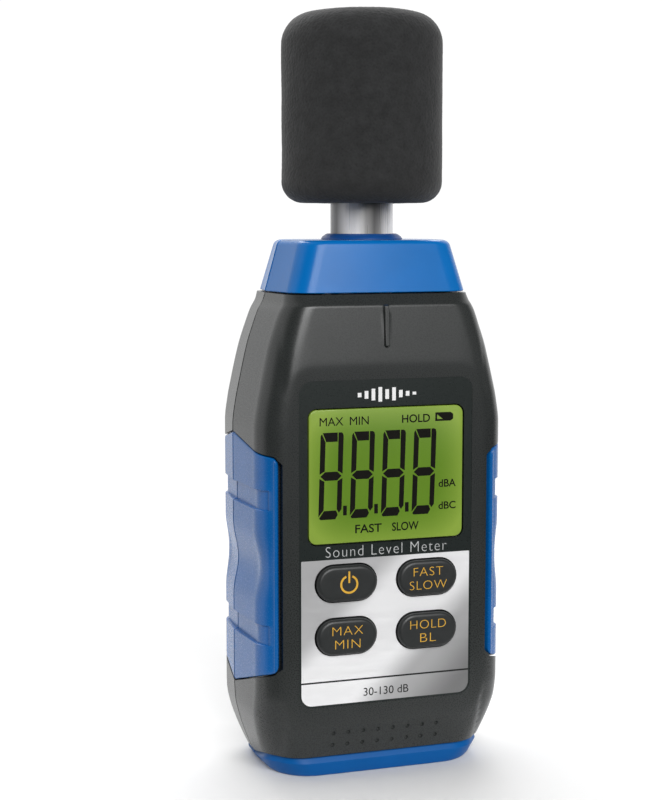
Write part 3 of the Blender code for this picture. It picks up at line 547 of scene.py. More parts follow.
def front_shell():
    """Front moulding with its creases, rib, pits, label recess and openings."""
    columns = shell_columns(-1)
    item = solid("front_shell", half_rings(-1, columns, shell_heights(-1, columns)))
    recess = (LABEL_Z[0] - GAP, LABEL_Z[1] + GAP)
    stands = rods("stand", 0.0018, (-0.0137, -0.0082),
                  [(s * 0.0172, z) for s in (1, -1) for z in (0.0205, 0.0836)])
    return combine(
        item,
        ("DIFFERENCE", shell_cavity()),
        ("UNION", rods("boss", 0.0024, (-0.0137, PARTING_Y - GAP), CASE_SCREWS)),
        ("UNION", stands),
        ("DIFFERENCE", pocket(-1, -1)), ("DIFFERENCE", pocket(1, -1)),
        ("DIFFERENCE", solid("recess", [rounded(LABEL_HALF + GAP, recess, (LABEL_CORNER + GAP,) * 2, y)
                                        for y in (-0.0180, LABEL_FLOOR_Y)])),
        ("DIFFERENCE", window_hole()), ("DIFFERENCE", key_holes()), ("DIFFERENCE", dimples()),
        ("DIFFERENCE", rods("hole", SCREW_SHANK + GAP, (-0.0088, 0.0060), CASE_SCREWS)))


def rear_shell():
    """Rear moulding with its battery opening, screw holes and the tripod insert's boss."""
    columns = shell_columns(1)
    item = solid("rear_shell", half_rings(1, columns, shell_heights(1, columns)))
    span = (COVER_Z[0] - GAP, COVER_Z[1] + GAP)
    opening = solid("opening", [rounded(COVER_HALF + GAP, span, (0.0012, 0.0012), y) for y in (0.0128, 0.0180)])
    collar = turned("collar", "Y", [(0.0064, 0.0103), (0.0064, 0.0145)], (0, INSERT_Z), 48)
    return combine(
        item,
        ("DIFFERENCE", shell_cavity()),
        ("UNION", rods("post", 0.0034, (PARTING_Y + GAP, 0.0135), CASE_SCREWS)),
        ("UNION", collar),
        ("DIFFERENCE", pocket(-1, 1)), ("DIFFERENCE", pocket(1, 1)),
        ("DIFFERENCE", opening),
        ("DIFFERENCE", rods("sink", SCREW_HEAD + GAP, (HEAD_Y[0] - GAP, 0.0180), CASE_SCREWS, 32)),
        ("DIFFERENCE", rods("flare", SCREW_HEAD + 0.0007, (0.0156, 0.0180), CASE_SCREWS, 32)),
        ("DIFFERENCE", rods("hole", SCREW_SHANK + GAP, (0.0010, 0.0060), CASE_SCREWS)),
        ("DIFFERENCE", turned("bore", "Y", [(INSERT_RADIUS + GAP, 0.0070), (INSERT_RADIUS + GAP, 0.0180)],
                              (0, INSERT_Z), 48)))


def strip_half(facing):
    """Half of the strip round the base, a little proud of the shell, with a bevel that catches the light."""
    columns = np.concatenate([SIDE_COLUMNS[:-1], spread(2.0, 10, 3.0)])
    profile = np.array(((0.0, -0.0002), (0.03, 0.0001), (0.10, 0.00022), (0.25, 0.00030), (0.70, 0.00034),
                        (0.74, 0.00032), (0.80, 0.00012), (0.94, -0.00038), (1.0, -0.00060)))
    heights = profile[:, :1] * strip_top(facing, columns)[None, :]
    item = solid("strip", half_rings(facing, columns, heights, profile[:, 1:]), sharp=20)
    cavity = solid("inside", [level_ring(z, 0.0200, 0.0100, 0.0100, 0.0055) for z in (0.0022, 0.0060)])
    return combine(item, ("DIFFERENCE", cavity), sharp=20)


def cap_half(facing):
    """Half of the cap that carries the microphone tube."""
    low, high = CAP_Z
    rings = []
    stations = [(low, 0.00015), (low + 0.00015, 0.0), (low + 0.0006, 0.0)]
    stations += [(low + (high - CAP_TOP_ROUND - low) * i / 8, 0.0) for i in range(1, 9)]
    stations += [(high - CAP_TOP_ROUND * along, CAP_TOP_ROUND * across) for along, across in quarter(7)]
    parting = PARTING_Y + facing * GAP / 2
    for z, inward in stations:
        share = (z - low) / (high - low)
        half, front, rear, radius = (a + (b - a) * share for a, b in zip(CAP_BASE, CAP_TOP))
        half, depth = half - inward, (front if facing < 0 else rear) - inward
        edge, seam = half - CAP_DRAFT, parting + facing * PARTING_CHAMFER
        arc = [(math.radians(90 * i / 16)) for i in range(17)]
        right = [(edge - radius + radius * math.cos(t), facing * (depth - radius + radius * math.sin(t)))
                 for t in arc]
        side = [(half - PARTING_CHAMFER, parting), (half, seam)]
        rings.append([(-x, y, z) for x, y in side + right] + [(x, y, z) for x, y in (side + right)[::-1]])
    item = solid("cap", rings)
    hollow = solid("hollow", [level_ring(z, 0.0154, 0.0094, 0.0096, 0.0028) for z in (0.1000, 0.1094)])
    bore = turned("bore", "Z", [(TUBE_RADIUS + GAP, 0.1050), (TUBE_RADIUS + GAP, 0.1140)], sides=96)
    return combine(item, ("DIFFERENCE", hollow), ("DIFFERENCE", bore))


# ---------------------------------------------------------------- lettering and print

def flat_shape(name, outline, y):
    """A thin plate with a straight outline of X and Z points, in front of y."""
    return solid(name, [[(x, y - layer, z) for x, z in outline] for layer in (0.0, PRINT)])


def lettering(name, text, left, right, low, high, y, bold=0.0, spacing=1.0):
    """Letters fitted between four edges, as a thin closed mesh."""
    curve = bpy.data.curves.new(name, "FONT")
    curve.body = text
    curve.size = 1.0
    curve.extrude = 0.02
    curve.offset = bold
    curve.space_character = spacing
    curve.resolution_u = 5
    source = bpy.data.objects.new(name, curve)
    bpy.context.scene.collection.objects.link(source)
    bpy.context.view_layer.update()
    mesh = bpy.data.meshes.new_from_object(source.evaluated_get(bpy.context.evaluated_depsgraph_get()))
    bpy.data.objects.remove(source)
    points = np.array([v.co for v in mesh.vertices])
    floor, ceiling = points.min(0), points.max(0)
    size = ceiling - floor
    scale_x, scale_z = (right - left) / size[0], (high - low) / size[1]
    for vertex, (x, up, deep) in zip(mesh.vertices, points):
        vertex.co = (left + (x - floor[0]) * scale_x, y - PRINT * (deep - floor[2]) / size[2],
                     low + (up - floor[1]) * scale_z)
    mesh.materials.clear()
    item = bpy.data.objects.new(name, mesh)
    bpy.context.scene.collection.objects.link(item)
    return item


DIGIT_HEIGHT, DIGIT_STEP, DIGIT_LEFT, DIGIT_LOW, DIGIT_LEAN = 0.0179, 0.0068, -0.0149, 0.0548, 0.030
# Segments of one digit in tenths of its width and height
SEGMENTS = (
    ((0.9, 10.0), (7.35, 10.0), (7.5, 8.95), (2.5, 8.95)),
    ((0.0, 5.25), (0.0, 9.60), (0.5, 9.88), (2.2, 8.92), (2.2, 5.60)),
    ((10.0, 5.25), (7.9, 5.60), (7.75, 10.0), (9.0, 10.0), (9.7, 9.88), (10.0, 9.6)),
    ((0.4, 5.0), (2.4, 5.50), (7.7, 5.50), (9.6, 5.0), (7.7, 4.50), (2.4, 4.50)),
    ((0.0, 4.75), (2.2, 4.40), (2.2, 1.12), (0.0, 0.35)),
    ((10.0, 4.75), (7.9, 4.40), (7.9, 1.14), (8.9, 0.75), (10.0, 1.15)),
    ((0.3, 0.18), (0.9, 0.0), (7.4, 0.0), (8.4, 0.50), (7.6, 1.02), (2.4, 1.02)),
)
DIGIT_WIDTH = 0.00495


def digits(y):
    """Four figure eights and the points between them."""
    items = []
    for number in range(4):
        left = DIGIT_LEFT + number * DIGIT_STEP
        for outline in SEGMENTS:
            shape = [(left + x / 10 * DIGIT_WIDTH + z / 10 * DIGIT_HEIGHT * DIGIT_LEAN,
                      DIGIT_LOW + z / 10 * DIGIT_HEIGHT) for x, z in outline]
            items.append(flat_shape("segment", shape, y))
        if number < 3:
            middle = left + DIGIT_WIDTH + 0.00080
            items.append(flat_shape("point", rectangle(middle - 0.0004, middle + 0.0004, DIGIT_LOW + 0.0007,
                                                       DIGIT_LOW + 0.0027), y))
    return joined("display_digits", items)


def battery_icon(y):
    """A small battery outline that is partly empty."""
    left, low, high = 0.0107, 0.0742, 0.0760
    outline = [(left, low), (left + 0.0034, low), (left + 0.0040, low + 0.0004), (left + 0.0040, high - 0.0004),
               (left + 0.0034, high), (left, high)]
    item = flat_shape("battery_icon", outline, y)
    gap = ((0.0004, 0.0004), (0.0017, 0.0004), (0.0004, 0.0014))
    clear = solid("clear", [[(left + x, layer, low + z) for x, z in gap] for layer in (y - 0.001, y + 0.001)])
    return combine(item, ("DIFFERENCE", clear))


def ring_shape(name, radius, width, centre, start, end, y, steps=40):
    """A flat arc facing Y, as a thin closed plate."""
    outline = []
    for i in range(steps + 1):
        turn = math.radians(start + (end - start) * i / steps)
        outline.append(((radius + width / 2) * math.cos(turn), (radius + width / 2) * math.sin(turn)))
    for i in range(steps, -1, -1):
        turn = math.radians(start + (end - start) * i / steps)
        outline.append(((radius - width / 2) * math.cos(turn), (radius - width / 2) * math.sin(turn)))
    rows = np.array(outline).reshape(2, steps + 1, 2)
    rows[1] = rows[1][::-1]
    grid = np.stack([centre[0] + rows[..., 0], np.full(rows.shape[:2], y), centre[1] + rows[..., 1]], -1)
    return slab(name, grid, grid - np.array([0, PRINT, 0]))


# ---------------------------------------------------------------- materials

def node(tree, kind, **settings):
    """A new node with its settings and unlinked inputs."""
    made = tree.nodes.new(kind)
    for key, value in settings.items():
        if key.startswith("in_"):
            made.inputs[key[3:].replace("_", " ")].default_value = value
        else:
            setattr(made, key, value)
    return made


def noise_at(tree, coordinates, scale, detail=3.0):
    """Noise of some features per metre."""
    made = node(tree, "ShaderNodeTexNoise", in_Scale=scale, in_Detail=detail)
    tree.links.new(coordinates, made.inputs["Vector"])
    return made.outputs["Fac"]


def ranged(tree, value, low, high, from_low=0.0, from_high=1.0):
    """A value moved into another range."""
    made = tree.nodes.new("ShaderNodeMapRange")
    for key, number in (("From Min", from_low), ("From Max", from_high), ("To Min", low), ("To Max", high)):
        made.inputs[key].default_value = number
    tree.links.new(value, made.inputs["Value"])
    return made.outputs["Result"]


def mixed(tree, share, first, second):
    """A colour between two, each a tuple or a socket."""
    made = node(tree, "ShaderNodeMix", data_type="RGBA")
    sockets = [s for s in made.inputs if s.type == "RGBA"]
    for socket, colour in zip(sockets, (first, second)):
        if isinstance(colour, tuple):
            socket.default_value = (*colour, 1.0)
        else:
            tree.links.new(colour, socket)
    tree.links.new(share, made.inputs[0])
    return next(s for s in made.outputs if s.type == "RGBA")


def bumped(tree, shader, layers):
    """Bump from layers of height socket and real height in metres."""
    normal = None
    for height, distance in layers:
        made = node(tree, "ShaderNodeBump", in_Distance=distance, in_Strength=1.0)
        tree.links.new(height, made.inputs["Height"])
        if normal:
            tree.links.new(normal, made.inputs["Normal"])
        normal = made.outputs["Normal"]
    tree.links.new(normal, shader.inputs["Normal"])


def surface(name, colour, rough, metallic=0.0, vary=0.12, mottle=260.0, grain=2600.0, relief=0.000012,
            rough_vary=0.05, stretch=None, **sockets):
    """A finish with soft mottling, fine grain and uneven gloss. Scales are features per metre."""
    material = bpy.data.materials.new(name)
    material.use_nodes = True
    tree = material.node_tree
    shader = tree.nodes["Principled BSDF"]
    coordinates = tree.nodes.new("ShaderNodeTexCoord").outputs["Object"]
    if stretch:
        mapping = node(tree, "ShaderNodeMapping", in_Scale=stretch)
        tree.links.new(coordinates, mapping.inputs["Vector"])
        coordinates = mapping.outputs["Vector"]
    cloud = noise_at(tree, coordinates, mottle)
    fine = noise_at(tree, coordinates, grain, 2.0)
    darker = tuple(c * (1 - vary) for c in colour)
    lighter = tuple(min(c * (1 + vary), 1.0) for c in colour)
    tree.links.new(mixed(tree, ranged(tree, cloud, 0.0, 1.0, 0.3, 0.7), darker, lighter),
                   shader.inputs["Base Color"])
    gloss = ranged(tree, fine, rough - rough_vary, rough + rough_vary, 0.3, 0.7)
    tree.links.new(gloss, shader.inputs["Roughness"])
    shader.inputs["Metallic"].default_value = metallic
    for key, value in sockets.items():
        shader.inputs[key.replace("_", " ")].default_value = value
    bumped(tree, shader, [(fine, relief)])
    return material


def axis_value(tree, axis):
    """One object coordinate."""
    coordinates = tree.nodes.new("ShaderNodeTexCoord")
    split = tree.nodes.new("ShaderNodeSeparateXYZ")
    tree.links.new(coordinates.outputs["Object"], split.inputs["Vector"])
    return split.outputs[axis]


def maths(tree, operation, first, second=None):
    """A calculation on sockets or numbers."""
    made = node(tree, "ShaderNodeMath", operation=operation)
    for socket, value in zip(made.inputs, (first, second)):
        if value is None:
            continue
        if isinstance(value, (int, float)):
            socket.default_value = value
        else:
            tree.links.new(value, socket)
    return made.outputs[0]


def tint(material, share, colour):
    """Blend a finish's colour towards another one."""
    tree = material.node_tree
    target = tree.nodes["Principled BSDF"].inputs["Base Color"]
    tree.links.new(mixed(tree, share, target.links[0].from_socket, colour), target)


def grey_ramp(tree, value, stops, hue, interpolation="LINEAR"):
    """Greys by a value from 0 to 1, from stops of place and brightness, all turned towards a hue."""
    made = tree.nodes.new("ShaderNodeValToRGB")
    ramp = made.color_ramp
    ramp.interpolation = interpolation
    while len(ramp.elements) < len(stops):
        ramp.elements.new(0.5)
    for element, (position, grey) in zip(ramp.elements, stops):
        element.position = position
        element.color = (*(grey * part for part in hue), 1.0)
    tree.links.new(value, made.inputs["Fac"])
    return made.outputs["Color"]


def silver_material():
    """Satin silver print with a painted reflection: a light band painted along a diagonal, with fine brushing across.
    """
    material = surface("silver_print_painted_sheen", (0.62, 0.63, 0.63), 0.36, metallic=0.35, vary=0.02, mottle=90,
                       grain=1500, relief=0.000002, stretch=(0.12, 1.0, 1.0))
    tree = material.node_tree
    shader = tree.nodes["Principled BSDF"]
    x, z = axis_value(tree, "X"), axis_value(tree, "Z")
    low, high = LABEL_Z[0], PANEL_TOP
    across = maths(tree, "DIVIDE", x, 2 * LABEL_HALF)
    up = maths(tree, "DIVIDE", maths(tree, "SUBTRACT", z, (low + high) / 2), high - low)
    # painted reflection: the colour lightens along a diagonal band, standing in for the sheen of the satin film
    painted_sheen_diagonal = maths(tree, "ADD", maths(tree, "MULTIPLY", across, 0.75), maths(tree, "MULTIPLY", up, -0.62))
    stops = ((0.00, 0.50), (0.22, 0.56), (0.36, 1.0), (0.60, 1.0), (0.76, 0.46), (1.00, 0.20))
    painted_reflection_greys = grey_ramp(tree, ranged(tree, painted_sheen_diagonal, 0.0, 1.0, -0.6, 0.6), stops, (1.0, 1.0, 1.01), "EASE")
    old = shader.inputs["Base Color"].links[0].from_socket
    blend = node(tree, "ShaderNodeMix", data_type="RGBA", blend_type="MULTIPLY")
    blend.inputs[0].default_value = 1.0
    sockets = [s for s in blend.inputs if s.type == "RGBA"]
    tree.links.new(painted_reflection_greys, sockets[0])
    lift = node(tree, "ShaderNodeMix", data_type="RGBA", blend_type="DIVIDE")
    lift.inputs[0].default_value = 1.0
    lift_sockets = [s for s in lift.inputs if s.type == "RGBA"]
    tree.links.new(old, lift_sockets[0])
    lift_sockets[1].default_value = (0.63, 0.64, 0.64, 1.0)
    tree.links.new(next(s for s in lift.outputs if s.type == "RGBA"), sockets[1])
    tree.links.new(next(s for s in blend.outputs if s.type == "RGBA"), shader.inputs["Base Color"])
    return material


def display_material():
    """Green display, lighter towards its edges."""
    material = surface("display_green", (0.12, 0.23, 0.022), 0.16, vary=0.03, mottle=120, grain=3000,
                       relief=0.000001, Specular_IOR_Level=0.3, Coat_Weight=0.06, Coat_Roughness=0.12)
    tree = material.node_tree
    x, z = axis_value(tree, "X"), axis_value(tree, "Z")
    middle, half = sum(WINDOW_Z) / 2, (WINDOW_Z[1] - WINDOW_Z[0]) / 2
    side = maths(tree, "DIVIDE", maths(tree, "ABSOLUTE", x), WINDOW_HALF)
    up = maths(tree, "DIVIDE", maths(tree, "ABSOLUTE", maths(tree, "SUBTRACT", z, middle)), half)
    power = maths(tree, "ADD", maths(tree, "POWER", side, 4.0), maths(tree, "POWER", up, 3.0))
    tint(material, ranged(tree, power, 0.0, 1.0, 0.2, 1.25), (0.25, 0.37, 0.055))
    return material


def tube_material():
    """Satin-polished tube with painted reflections: light and dark lengthwise bands painted into its colour by the
    direction round it.
    """
    material = surface("polished_metal", (0.86, 0.85, 0.84), 0.30, metallic=0.25, vary=0.03, mottle=160,
                       grain=1500, relief=0.0000008, stretch=(1.0, 1.0, 0.05))
    tree = material.node_tree
    x, y = axis_value(tree, "X"), axis_value(tree, "Y")
    turn = maths(tree, "ARCTAN2", x, maths(tree, "MULTIPLY", y, -1.0))
    # painted reflections: brightness by direction round the tube, standing in for reflected studio lights
    stops = ((-180, 0.75), (-120, 0.35), (-72, 0.16), (-56, 0.55), (-44, 1.0), (-26, 1.0), (-12, 0.30),
             (4, 0.14), (14, 0.30), (30, 1.0), (60, 1.0), (90, 0.5), (180, 0.75))
    painted_reflection_greys = grey_ramp(tree, ranged(tree, turn, 0.0, 1.0, -math.pi, math.pi),
                      [((degrees + 180) / 360, grey) for degrees, grey in stops], (1.0, 0.975, 0.95))
    tree.links.new(painted_reflection_greys, tree.nodes["Principled BSDF"].inputs["Base Color"])
    return material


def foam_material():
    """Open-cell foam: pores darkened with painted shade, in a slightly lighter skin."""
    material = surface("foam", (0.018, 0.0185, 0.019), 0.93, vary=0.25, mottle=420, grain=2400, relief=0.00006,
                       Sheen_Weight=0.10, Sheen_Roughness=0.5)
    tree = material.node_tree
    shader = tree.nodes["Principled BSDF"]
    coordinates = tree.nodes.new("ShaderNodeTexCoord").outputs["Object"]
    cells = node(tree, "ShaderNodeTexVoronoi", in_Scale=1500.0)
    tree.links.new(coordinates, cells.inputs["Vector"])
    # painted shade: darker colour in the middle of each cell, where the bump sinks in
    painted_pore_shade = ranged(tree, cells.outputs["Distance"], 0.55, 1.0, 0.05, 0.45)
    old = shader.inputs["Base Color"].links[0].from_socket
    tree.links.new(mixed(tree, painted_pore_shade, (0.007, 0.007, 0.007), old), shader.inputs["Base Color"])
    fine = noise_at(tree, coordinates, 900.0)
    bumped(tree, shader, [(cells.outputs["Distance"], 0.00008), (fine, 0.00010)])
    return material


def cell_material():
    """Black cell jacket with a copper end, parted at a fixed height."""
    material = surface("cell_jacket", (0.018, 0.018, 0.020), 0.30, vary=0.1, mottle=300, grain=1800,
                       relief=0.000004, Coat_Weight=0.4, Coat_Roughness=0.15)
    tree = material.node_tree
    shader = tree.nodes["Principled BSDF"]
    z = axis_value(tree, "Z")
    edge = (CELL_BOTTOM + 0.0295, CELL_BOTTOM + 0.0297)
    tint(material, ranged(tree, z, 0.0, 1.0, *edge), (0.62, 0.28, 0.09))
    tree.links.new(ranged(tree, z, 0.0, 0.9, *edge), shader.inputs["Metallic"])
    return material


def board_material():
    """Green solder mask with lighter tracks under it."""
    material = surface("board", (0.012, 0.10, 0.035), 0.38, vary=0.1, mottle=400, grain=2200, relief=0.00001,
                       Coat_Weight=0.3, Coat_Roughness=0.2)
    tree = material.node_tree
    coordinates = tree.nodes.new("ShaderNodeTexCoord").outputs["Object"]
    tracks = node(tree, "ShaderNodeTexBrick", in_Scale=420.0)
    tracks.inputs["Mortar Size"].default_value = 0.03
    turn = node(tree, "ShaderNodeMapping", in_Rotation=(math.radians(90), 0, 0))
    tree.links.new(coordinates, turn.inputs["Vector"])
    tree.links.new(turn.outputs["Vector"], tracks.inputs["Vector"])
    tint(material, tracks.outputs["Fac"], (0.05, 0.24, 0.08))
    return material


def brushed(name, colour, rough, around):
    """Metal with fine turning or drawing marks: around scales the grain along each axis."""
    return surface(name, colour, rough, metallic=1.0, vary=0.05, mottle=160, grain=1500, relief=0.0000015,
                   stretch=around)


def ink(name, colour, rough=0.45, vary=0.1, relief=0.000002, **sockets):
    """Printed ink."""
    return surface(name, colour, rough, vary=vary, mottle=500, grain=3000, relief=relief, **sockets)


def lead(name, colour, rough=0.45, vary=0.08):
    """Cable jacket."""
    return surface(name, colour, rough, vary=vary, mottle=400, grain=2600, relief=0.000008)


M = {
    "charcoal": surface("charcoal_plastic", (0.0235, 0.0262, 0.0255), 0.28, vary=0.05, mottle=150, grain=3800,
                        relief=0.0000025, rough_vary=0.03),
    "blue": surface("blue_plastic", (0.001, 0.145, 0.47), 0.24, vary=0.04, mottle=140, grain=3600,
                    relief=0.0000012, rough_vary=0.03, Specular_IOR_Level=0.28),
    # darker copy of the blue plastic for the base strip: painted shade, for the base getting less light
    "strip": surface("base_blue_painted_shade", (0.001, 0.085, 0.30), 0.40, vary=0.04, mottle=140, grain=3600,
                     relief=0.0000012, rough_vary=0.03, Specular_IOR_Level=0.15),
    "grip": surface("blue_rubber", (0.001, 0.105, 0.36), 0.26, vary=0.05, mottle=180, grain=3200,
                    relief=0.000003, rough_vary=0.03),
    "label": surface("dark_print", (0.0105, 0.0150, 0.0140), 0.30, vary=0.05, mottle=120, grain=3000,
                     relief=0.000003, rough_vary=0.03),
    "silver": silver_material(),
    "line": ink("divider_ink", (0.012, 0.013, 0.013), Specular_IOR_Level=0.3),
    "display": display_material(),
    "lcd_ink": ink("display_ink", (0.0050, 0.0045, 0.0030), vary=0.15, relief=0.000001, Specular_IOR_Level=0.12),
    "white_ink": ink("white_ink", (0.86, 0.86, 0.86), vary=0.03),
    "grey_ink": ink("grey_ink", (0.52, 0.53, 0.53), vary=0.04),
    "amber_ink": ink("amber_ink", (0.70, 0.39, 0.035), 0.48, 0.06),
    "black_ink": ink("black_ink", (0.006, 0.006, 0.006), Specular_IOR_Level=0.2),
    "key": surface("key_rubber", (0.018, 0.020, 0.020), 0.40, vary=0.08, mottle=300, grain=3400, relief=0.000008),
    "black": surface("black_plastic", (0.012, 0.012, 0.013), 0.42, vary=0.1, mottle=220, grain=2800,
                     relief=0.000010),
    "polished": tube_material(),
    "steel": brushed("steel", (0.62, 0.62, 0.63), 0.26, (1.0, 0.2, 1.0)),
    "brass": brushed("brass", (0.78, 0.56, 0.22), 0.28, (1.0, 0.2, 1.0)),
    "spring": brushed("spring_steel", (0.70, 0.70, 0.70), 0.22, (1.0, 1.0, 1.0)),
    "gasket": surface("blue_gasket", (0.003, 0.060, 0.24), 0.40, vary=0.06, mottle=200, grain=3000,
                      relief=0.000008),
    "foam": foam_material(),
    "cell": cell_material(),
    "board": board_material(),
    "glass": surface("display_glass", (0.30, 0.42, 0.10), 0.10, vary=0.03, mottle=100, grain=2000,
                     relief=0.000001, Coat_Weight=0.5, Coat_Roughness=0.05),
    "diffuser": surface("diffuser", (0.80, 0.82, 0.76), 0.50, vary=0.03, mottle=120, grain=2200,
                        relief=0.000004),
    "contact": surface("contact_rubber", (0.42, 0.17, 0.16), 0.70, vary=0.1, mottle=900, grain=2600,
                       relief=0.00001, stretch=(4.0, 1.0, 0.2)),
    "mat": surface("mat_rubber", (0.19, 0.19, 0.20), 0.66, vary=0.07, mottle=240, grain=2600, relief=0.00001),
    "chip": surface("chip", (0.014, 0.014, 0.015), 0.55, vary=0.12, mottle=600, grain=3200, relief=0.000012),
    "sleeve": surface("sleeve", (0.010, 0.018, 0.060), 0.32, vary=0.06, mottle=300, grain=2600, relief=0.000004,
                      Coat_Weight=0.3, Coat_Roughness=0.2),
    "trimmer": surface("trimmer", (0.02, 0.16, 0.48), 0.40, vary=0.06, mottle=300, grain=2600, relief=0.000006),
    "lead_black": lead("lead_black", (0.012, 0.012, 0.012), vary=0.1),
    "lead_red": lead("lead_red", (0.42, 0.012, 0.012)),
    "lead_grey": lead("lead_grey", (0.20, 0.20, 0.21), 0.50),
}
# CAD nodes that keep their mesh, with their finish
CARRIED = {
    "lcd_panel": "glass", "lcd_frame": "black", "backlight_diffuser": "diffuser", "zebra_strip": "contact",
    "main_board": "board", "keypad_mat": "mat", "processor_chip": "chip", "amplifier_chip": "chip",
    "crystal": "steel", "capacitor": "sleeve", "calibration_trimmer": "trimmer", "battery_tray": "black",
    **{"battery_contact_" + str(number): "spring" for number in (1, 2, 3)},
    "battery_lead_black": "lead_black", "battery_lead_red": "lead_red", "microphone_lead": "lead_grey",
    **{"board_screw_" + str(number): "steel" for number in (1, 2, 3, 4)},
}


def piece(item, name, material, ride_on="meter", stands_for=()):
    """Name a piece, give it its finish and put it on its body."""
    item.name = item.data.name = name
    item.data.materials.clear()
    item.data.materials.append(M[material])
    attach(item, ride_on)
    if stands_for:
        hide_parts(*([stands_for] if isinstance(stands_for, str) else stands_for))
    return item


# ---------------------------------------------------------------- pieces

def housing():
    """Shells, strips, caps and grips."""
    piece(front_shell(), "front_housing", "charcoal", stands_for="front_shell")
    piece(rear_shell(), "rear_housing", "charcoal", stands_for="rear_shell")
    for facing, word in ((-1, "front"), (1, "rear")):
        piece(strip_half(facing), "base_strip_" + word, "strip",
              stands_for="bottom_cap_" + word)
        piece(cap_half(facing), "nose_cap_" + word, "blue", stands_for="top_cap_" + word)
        for side, hand in ((-1, "left"), (1, "right")):
            piece(grip(side, facing), "soft_grip_" + hand + "_" + word, "grip",
                  stands_for="grip_" + hand + "_" + word)


def face():
    """Printed label, display and the lettering on them."""
    y = LABEL_Y[0]
    half, span = LABEL_HALF + LABEL_GROWTH, (LABEL_Z[0] - LABEL_GROWTH, LABEL_Z[1] + LABEL_GROWTH)
    label = plate("label", half, span, (LABEL_CORNER,) * 2, y, LABEL_Y[1])
    combine(label, ("DIFFERENCE", window_hole()), ("DIFFERENCE", key_holes()))
    piece(label, "label_plate", "label", stands_for="face_label")
    panel_y = y - PRINT
    inset = 0.00012
    silver = plate("silver", LABEL_HALF - inset, (LABEL_Z[0] + inset, PANEL_TOP),
                   (LABEL_CORNER - inset, 0.0002), panel_y, y + PRINT)
    combine(silver, ("DIFFERENCE", key_holes()))
    piece(silver, "silver_panel", "silver")
    line = rectangle(-LABEL_HALF + inset, LABEL_HALF - inset, DIVIDER_Z - DIVIDER_HALF, DIVIDER_Z + DIVIDER_HALF)
    piece(flat_shape("divider", line, panel_y), "panel_divider", "line")

    window = plate("window", WINDOW_HALF, WINDOW_Z, (WINDOW_CORNER,) * 2, y, -0.0143, edge=0.00020)
    piece(window, "display_window", "display", stands_for="display_lens")
    piece(digits(y), "display_digits", "lcd_ink")
    words = (
        ("max", "MAX", -0.0146, -0.0095, 0.0741, 0.0758), ("min", "MIN", -0.0081, -0.0040, 0.0741, 0.0758),
        ("hold", "HOLD", 0.0033, 0.0095, 0.0741, 0.0758), ("dba", "dBA", 0.01155, 0.0154, 0.0603, 0.0619),
        ("dbc", "dBC", 0.01155, 0.0154, 0.0556, 0.0572), ("fast", "FAST", -0.0069, -0.0011, 0.0516, 0.0534),
        ("slow", "SLOW", 0.0012, 0.0071, 0.0516, 0.0534))
    for name, text, left, right, low, high in words:
        bold = 0.0 if "M" in text else 0.013   # any growth closes the narrow M
        piece(lettering(name, text, left, right, low, high, y, bold=bold), "display_" + name, "lcd_ink")
    piece(battery_icon(y), "display_battery", "lcd_ink")

    title = lettering("title", "Sound Level Meter", -0.0133, 0.0134, 0.0469, 0.0491, y, bold=-0.018, spacing=1.16)
    piece(title, "title_text", "grey_ink")
    piece(level_bars(y), "level_bars", "white_ink")
    piece(lettering("range", "30-130 dB", -0.0050, 0.0050, 0.0171, 0.0188, panel_y), "range_text", "black_ink")


def level_bars(y):
    """Row of upright bars, a plain sound level symbol."""
    bars = []
    for i, height in enumerate((0.0009, 0.0016, 0.0024, 0.0030, 0.0020, 0.0027, 0.0015, 0.0010, 0.0006)):
        x, middle = (i - 4) * 0.00150, 0.0802
        bars.append(flat_shape("bar", rectangle(x - 0.0004, x + 0.0004, middle - height / 2, middle + height / 2),
                               y))
    return joined("bars", bars)


def key_piece(name, x, z):
    """A rubber key with a rounded edge, its flange and its tip."""
    centre = (x, z)
    rings = [stadium(0.0015, 0.0, KEY_TIP_Y, centre), stadium(0.0015, 0.0, KEY_FLANGE_Y[1], centre),
             stadium(KEY_RADIUS + 0.0010, KEY_STRAIGHT, KEY_FLANGE_Y[1], centre),
             stadium(KEY_RADIUS + 0.0010, KEY_STRAIGHT, KEY_FLANGE_Y[0], centre),
             stadium(KEY_RADIUS, KEY_STRAIGHT, KEY_FLANGE_Y[0], centre),
             stadium(KEY_RADIUS, KEY_STRAIGHT, KEY_FACE_Y + KEY_ROUND, centre)]
    for along, across in quarter(8):
        rings.append(stadium(KEY_RADIUS - KEY_ROUND * across, KEY_STRAIGHT, KEY_FACE_Y + KEY_ROUND * along, centre))
    rings.append(stadium(KEY_RADIUS - KEY_ROUND - 0.0006, KEY_STRAIGHT, KEY_FACE_Y, centre))
    for ring in rings[:2]:
        for i, point in enumerate(ring):
            ring[i] = (point[0] + (1 if i < len(ring) / 2 else -1) * 0.00002, point[1], point[2])
    return piece(solid(name, rings), name + "_cap", "key", name, name)


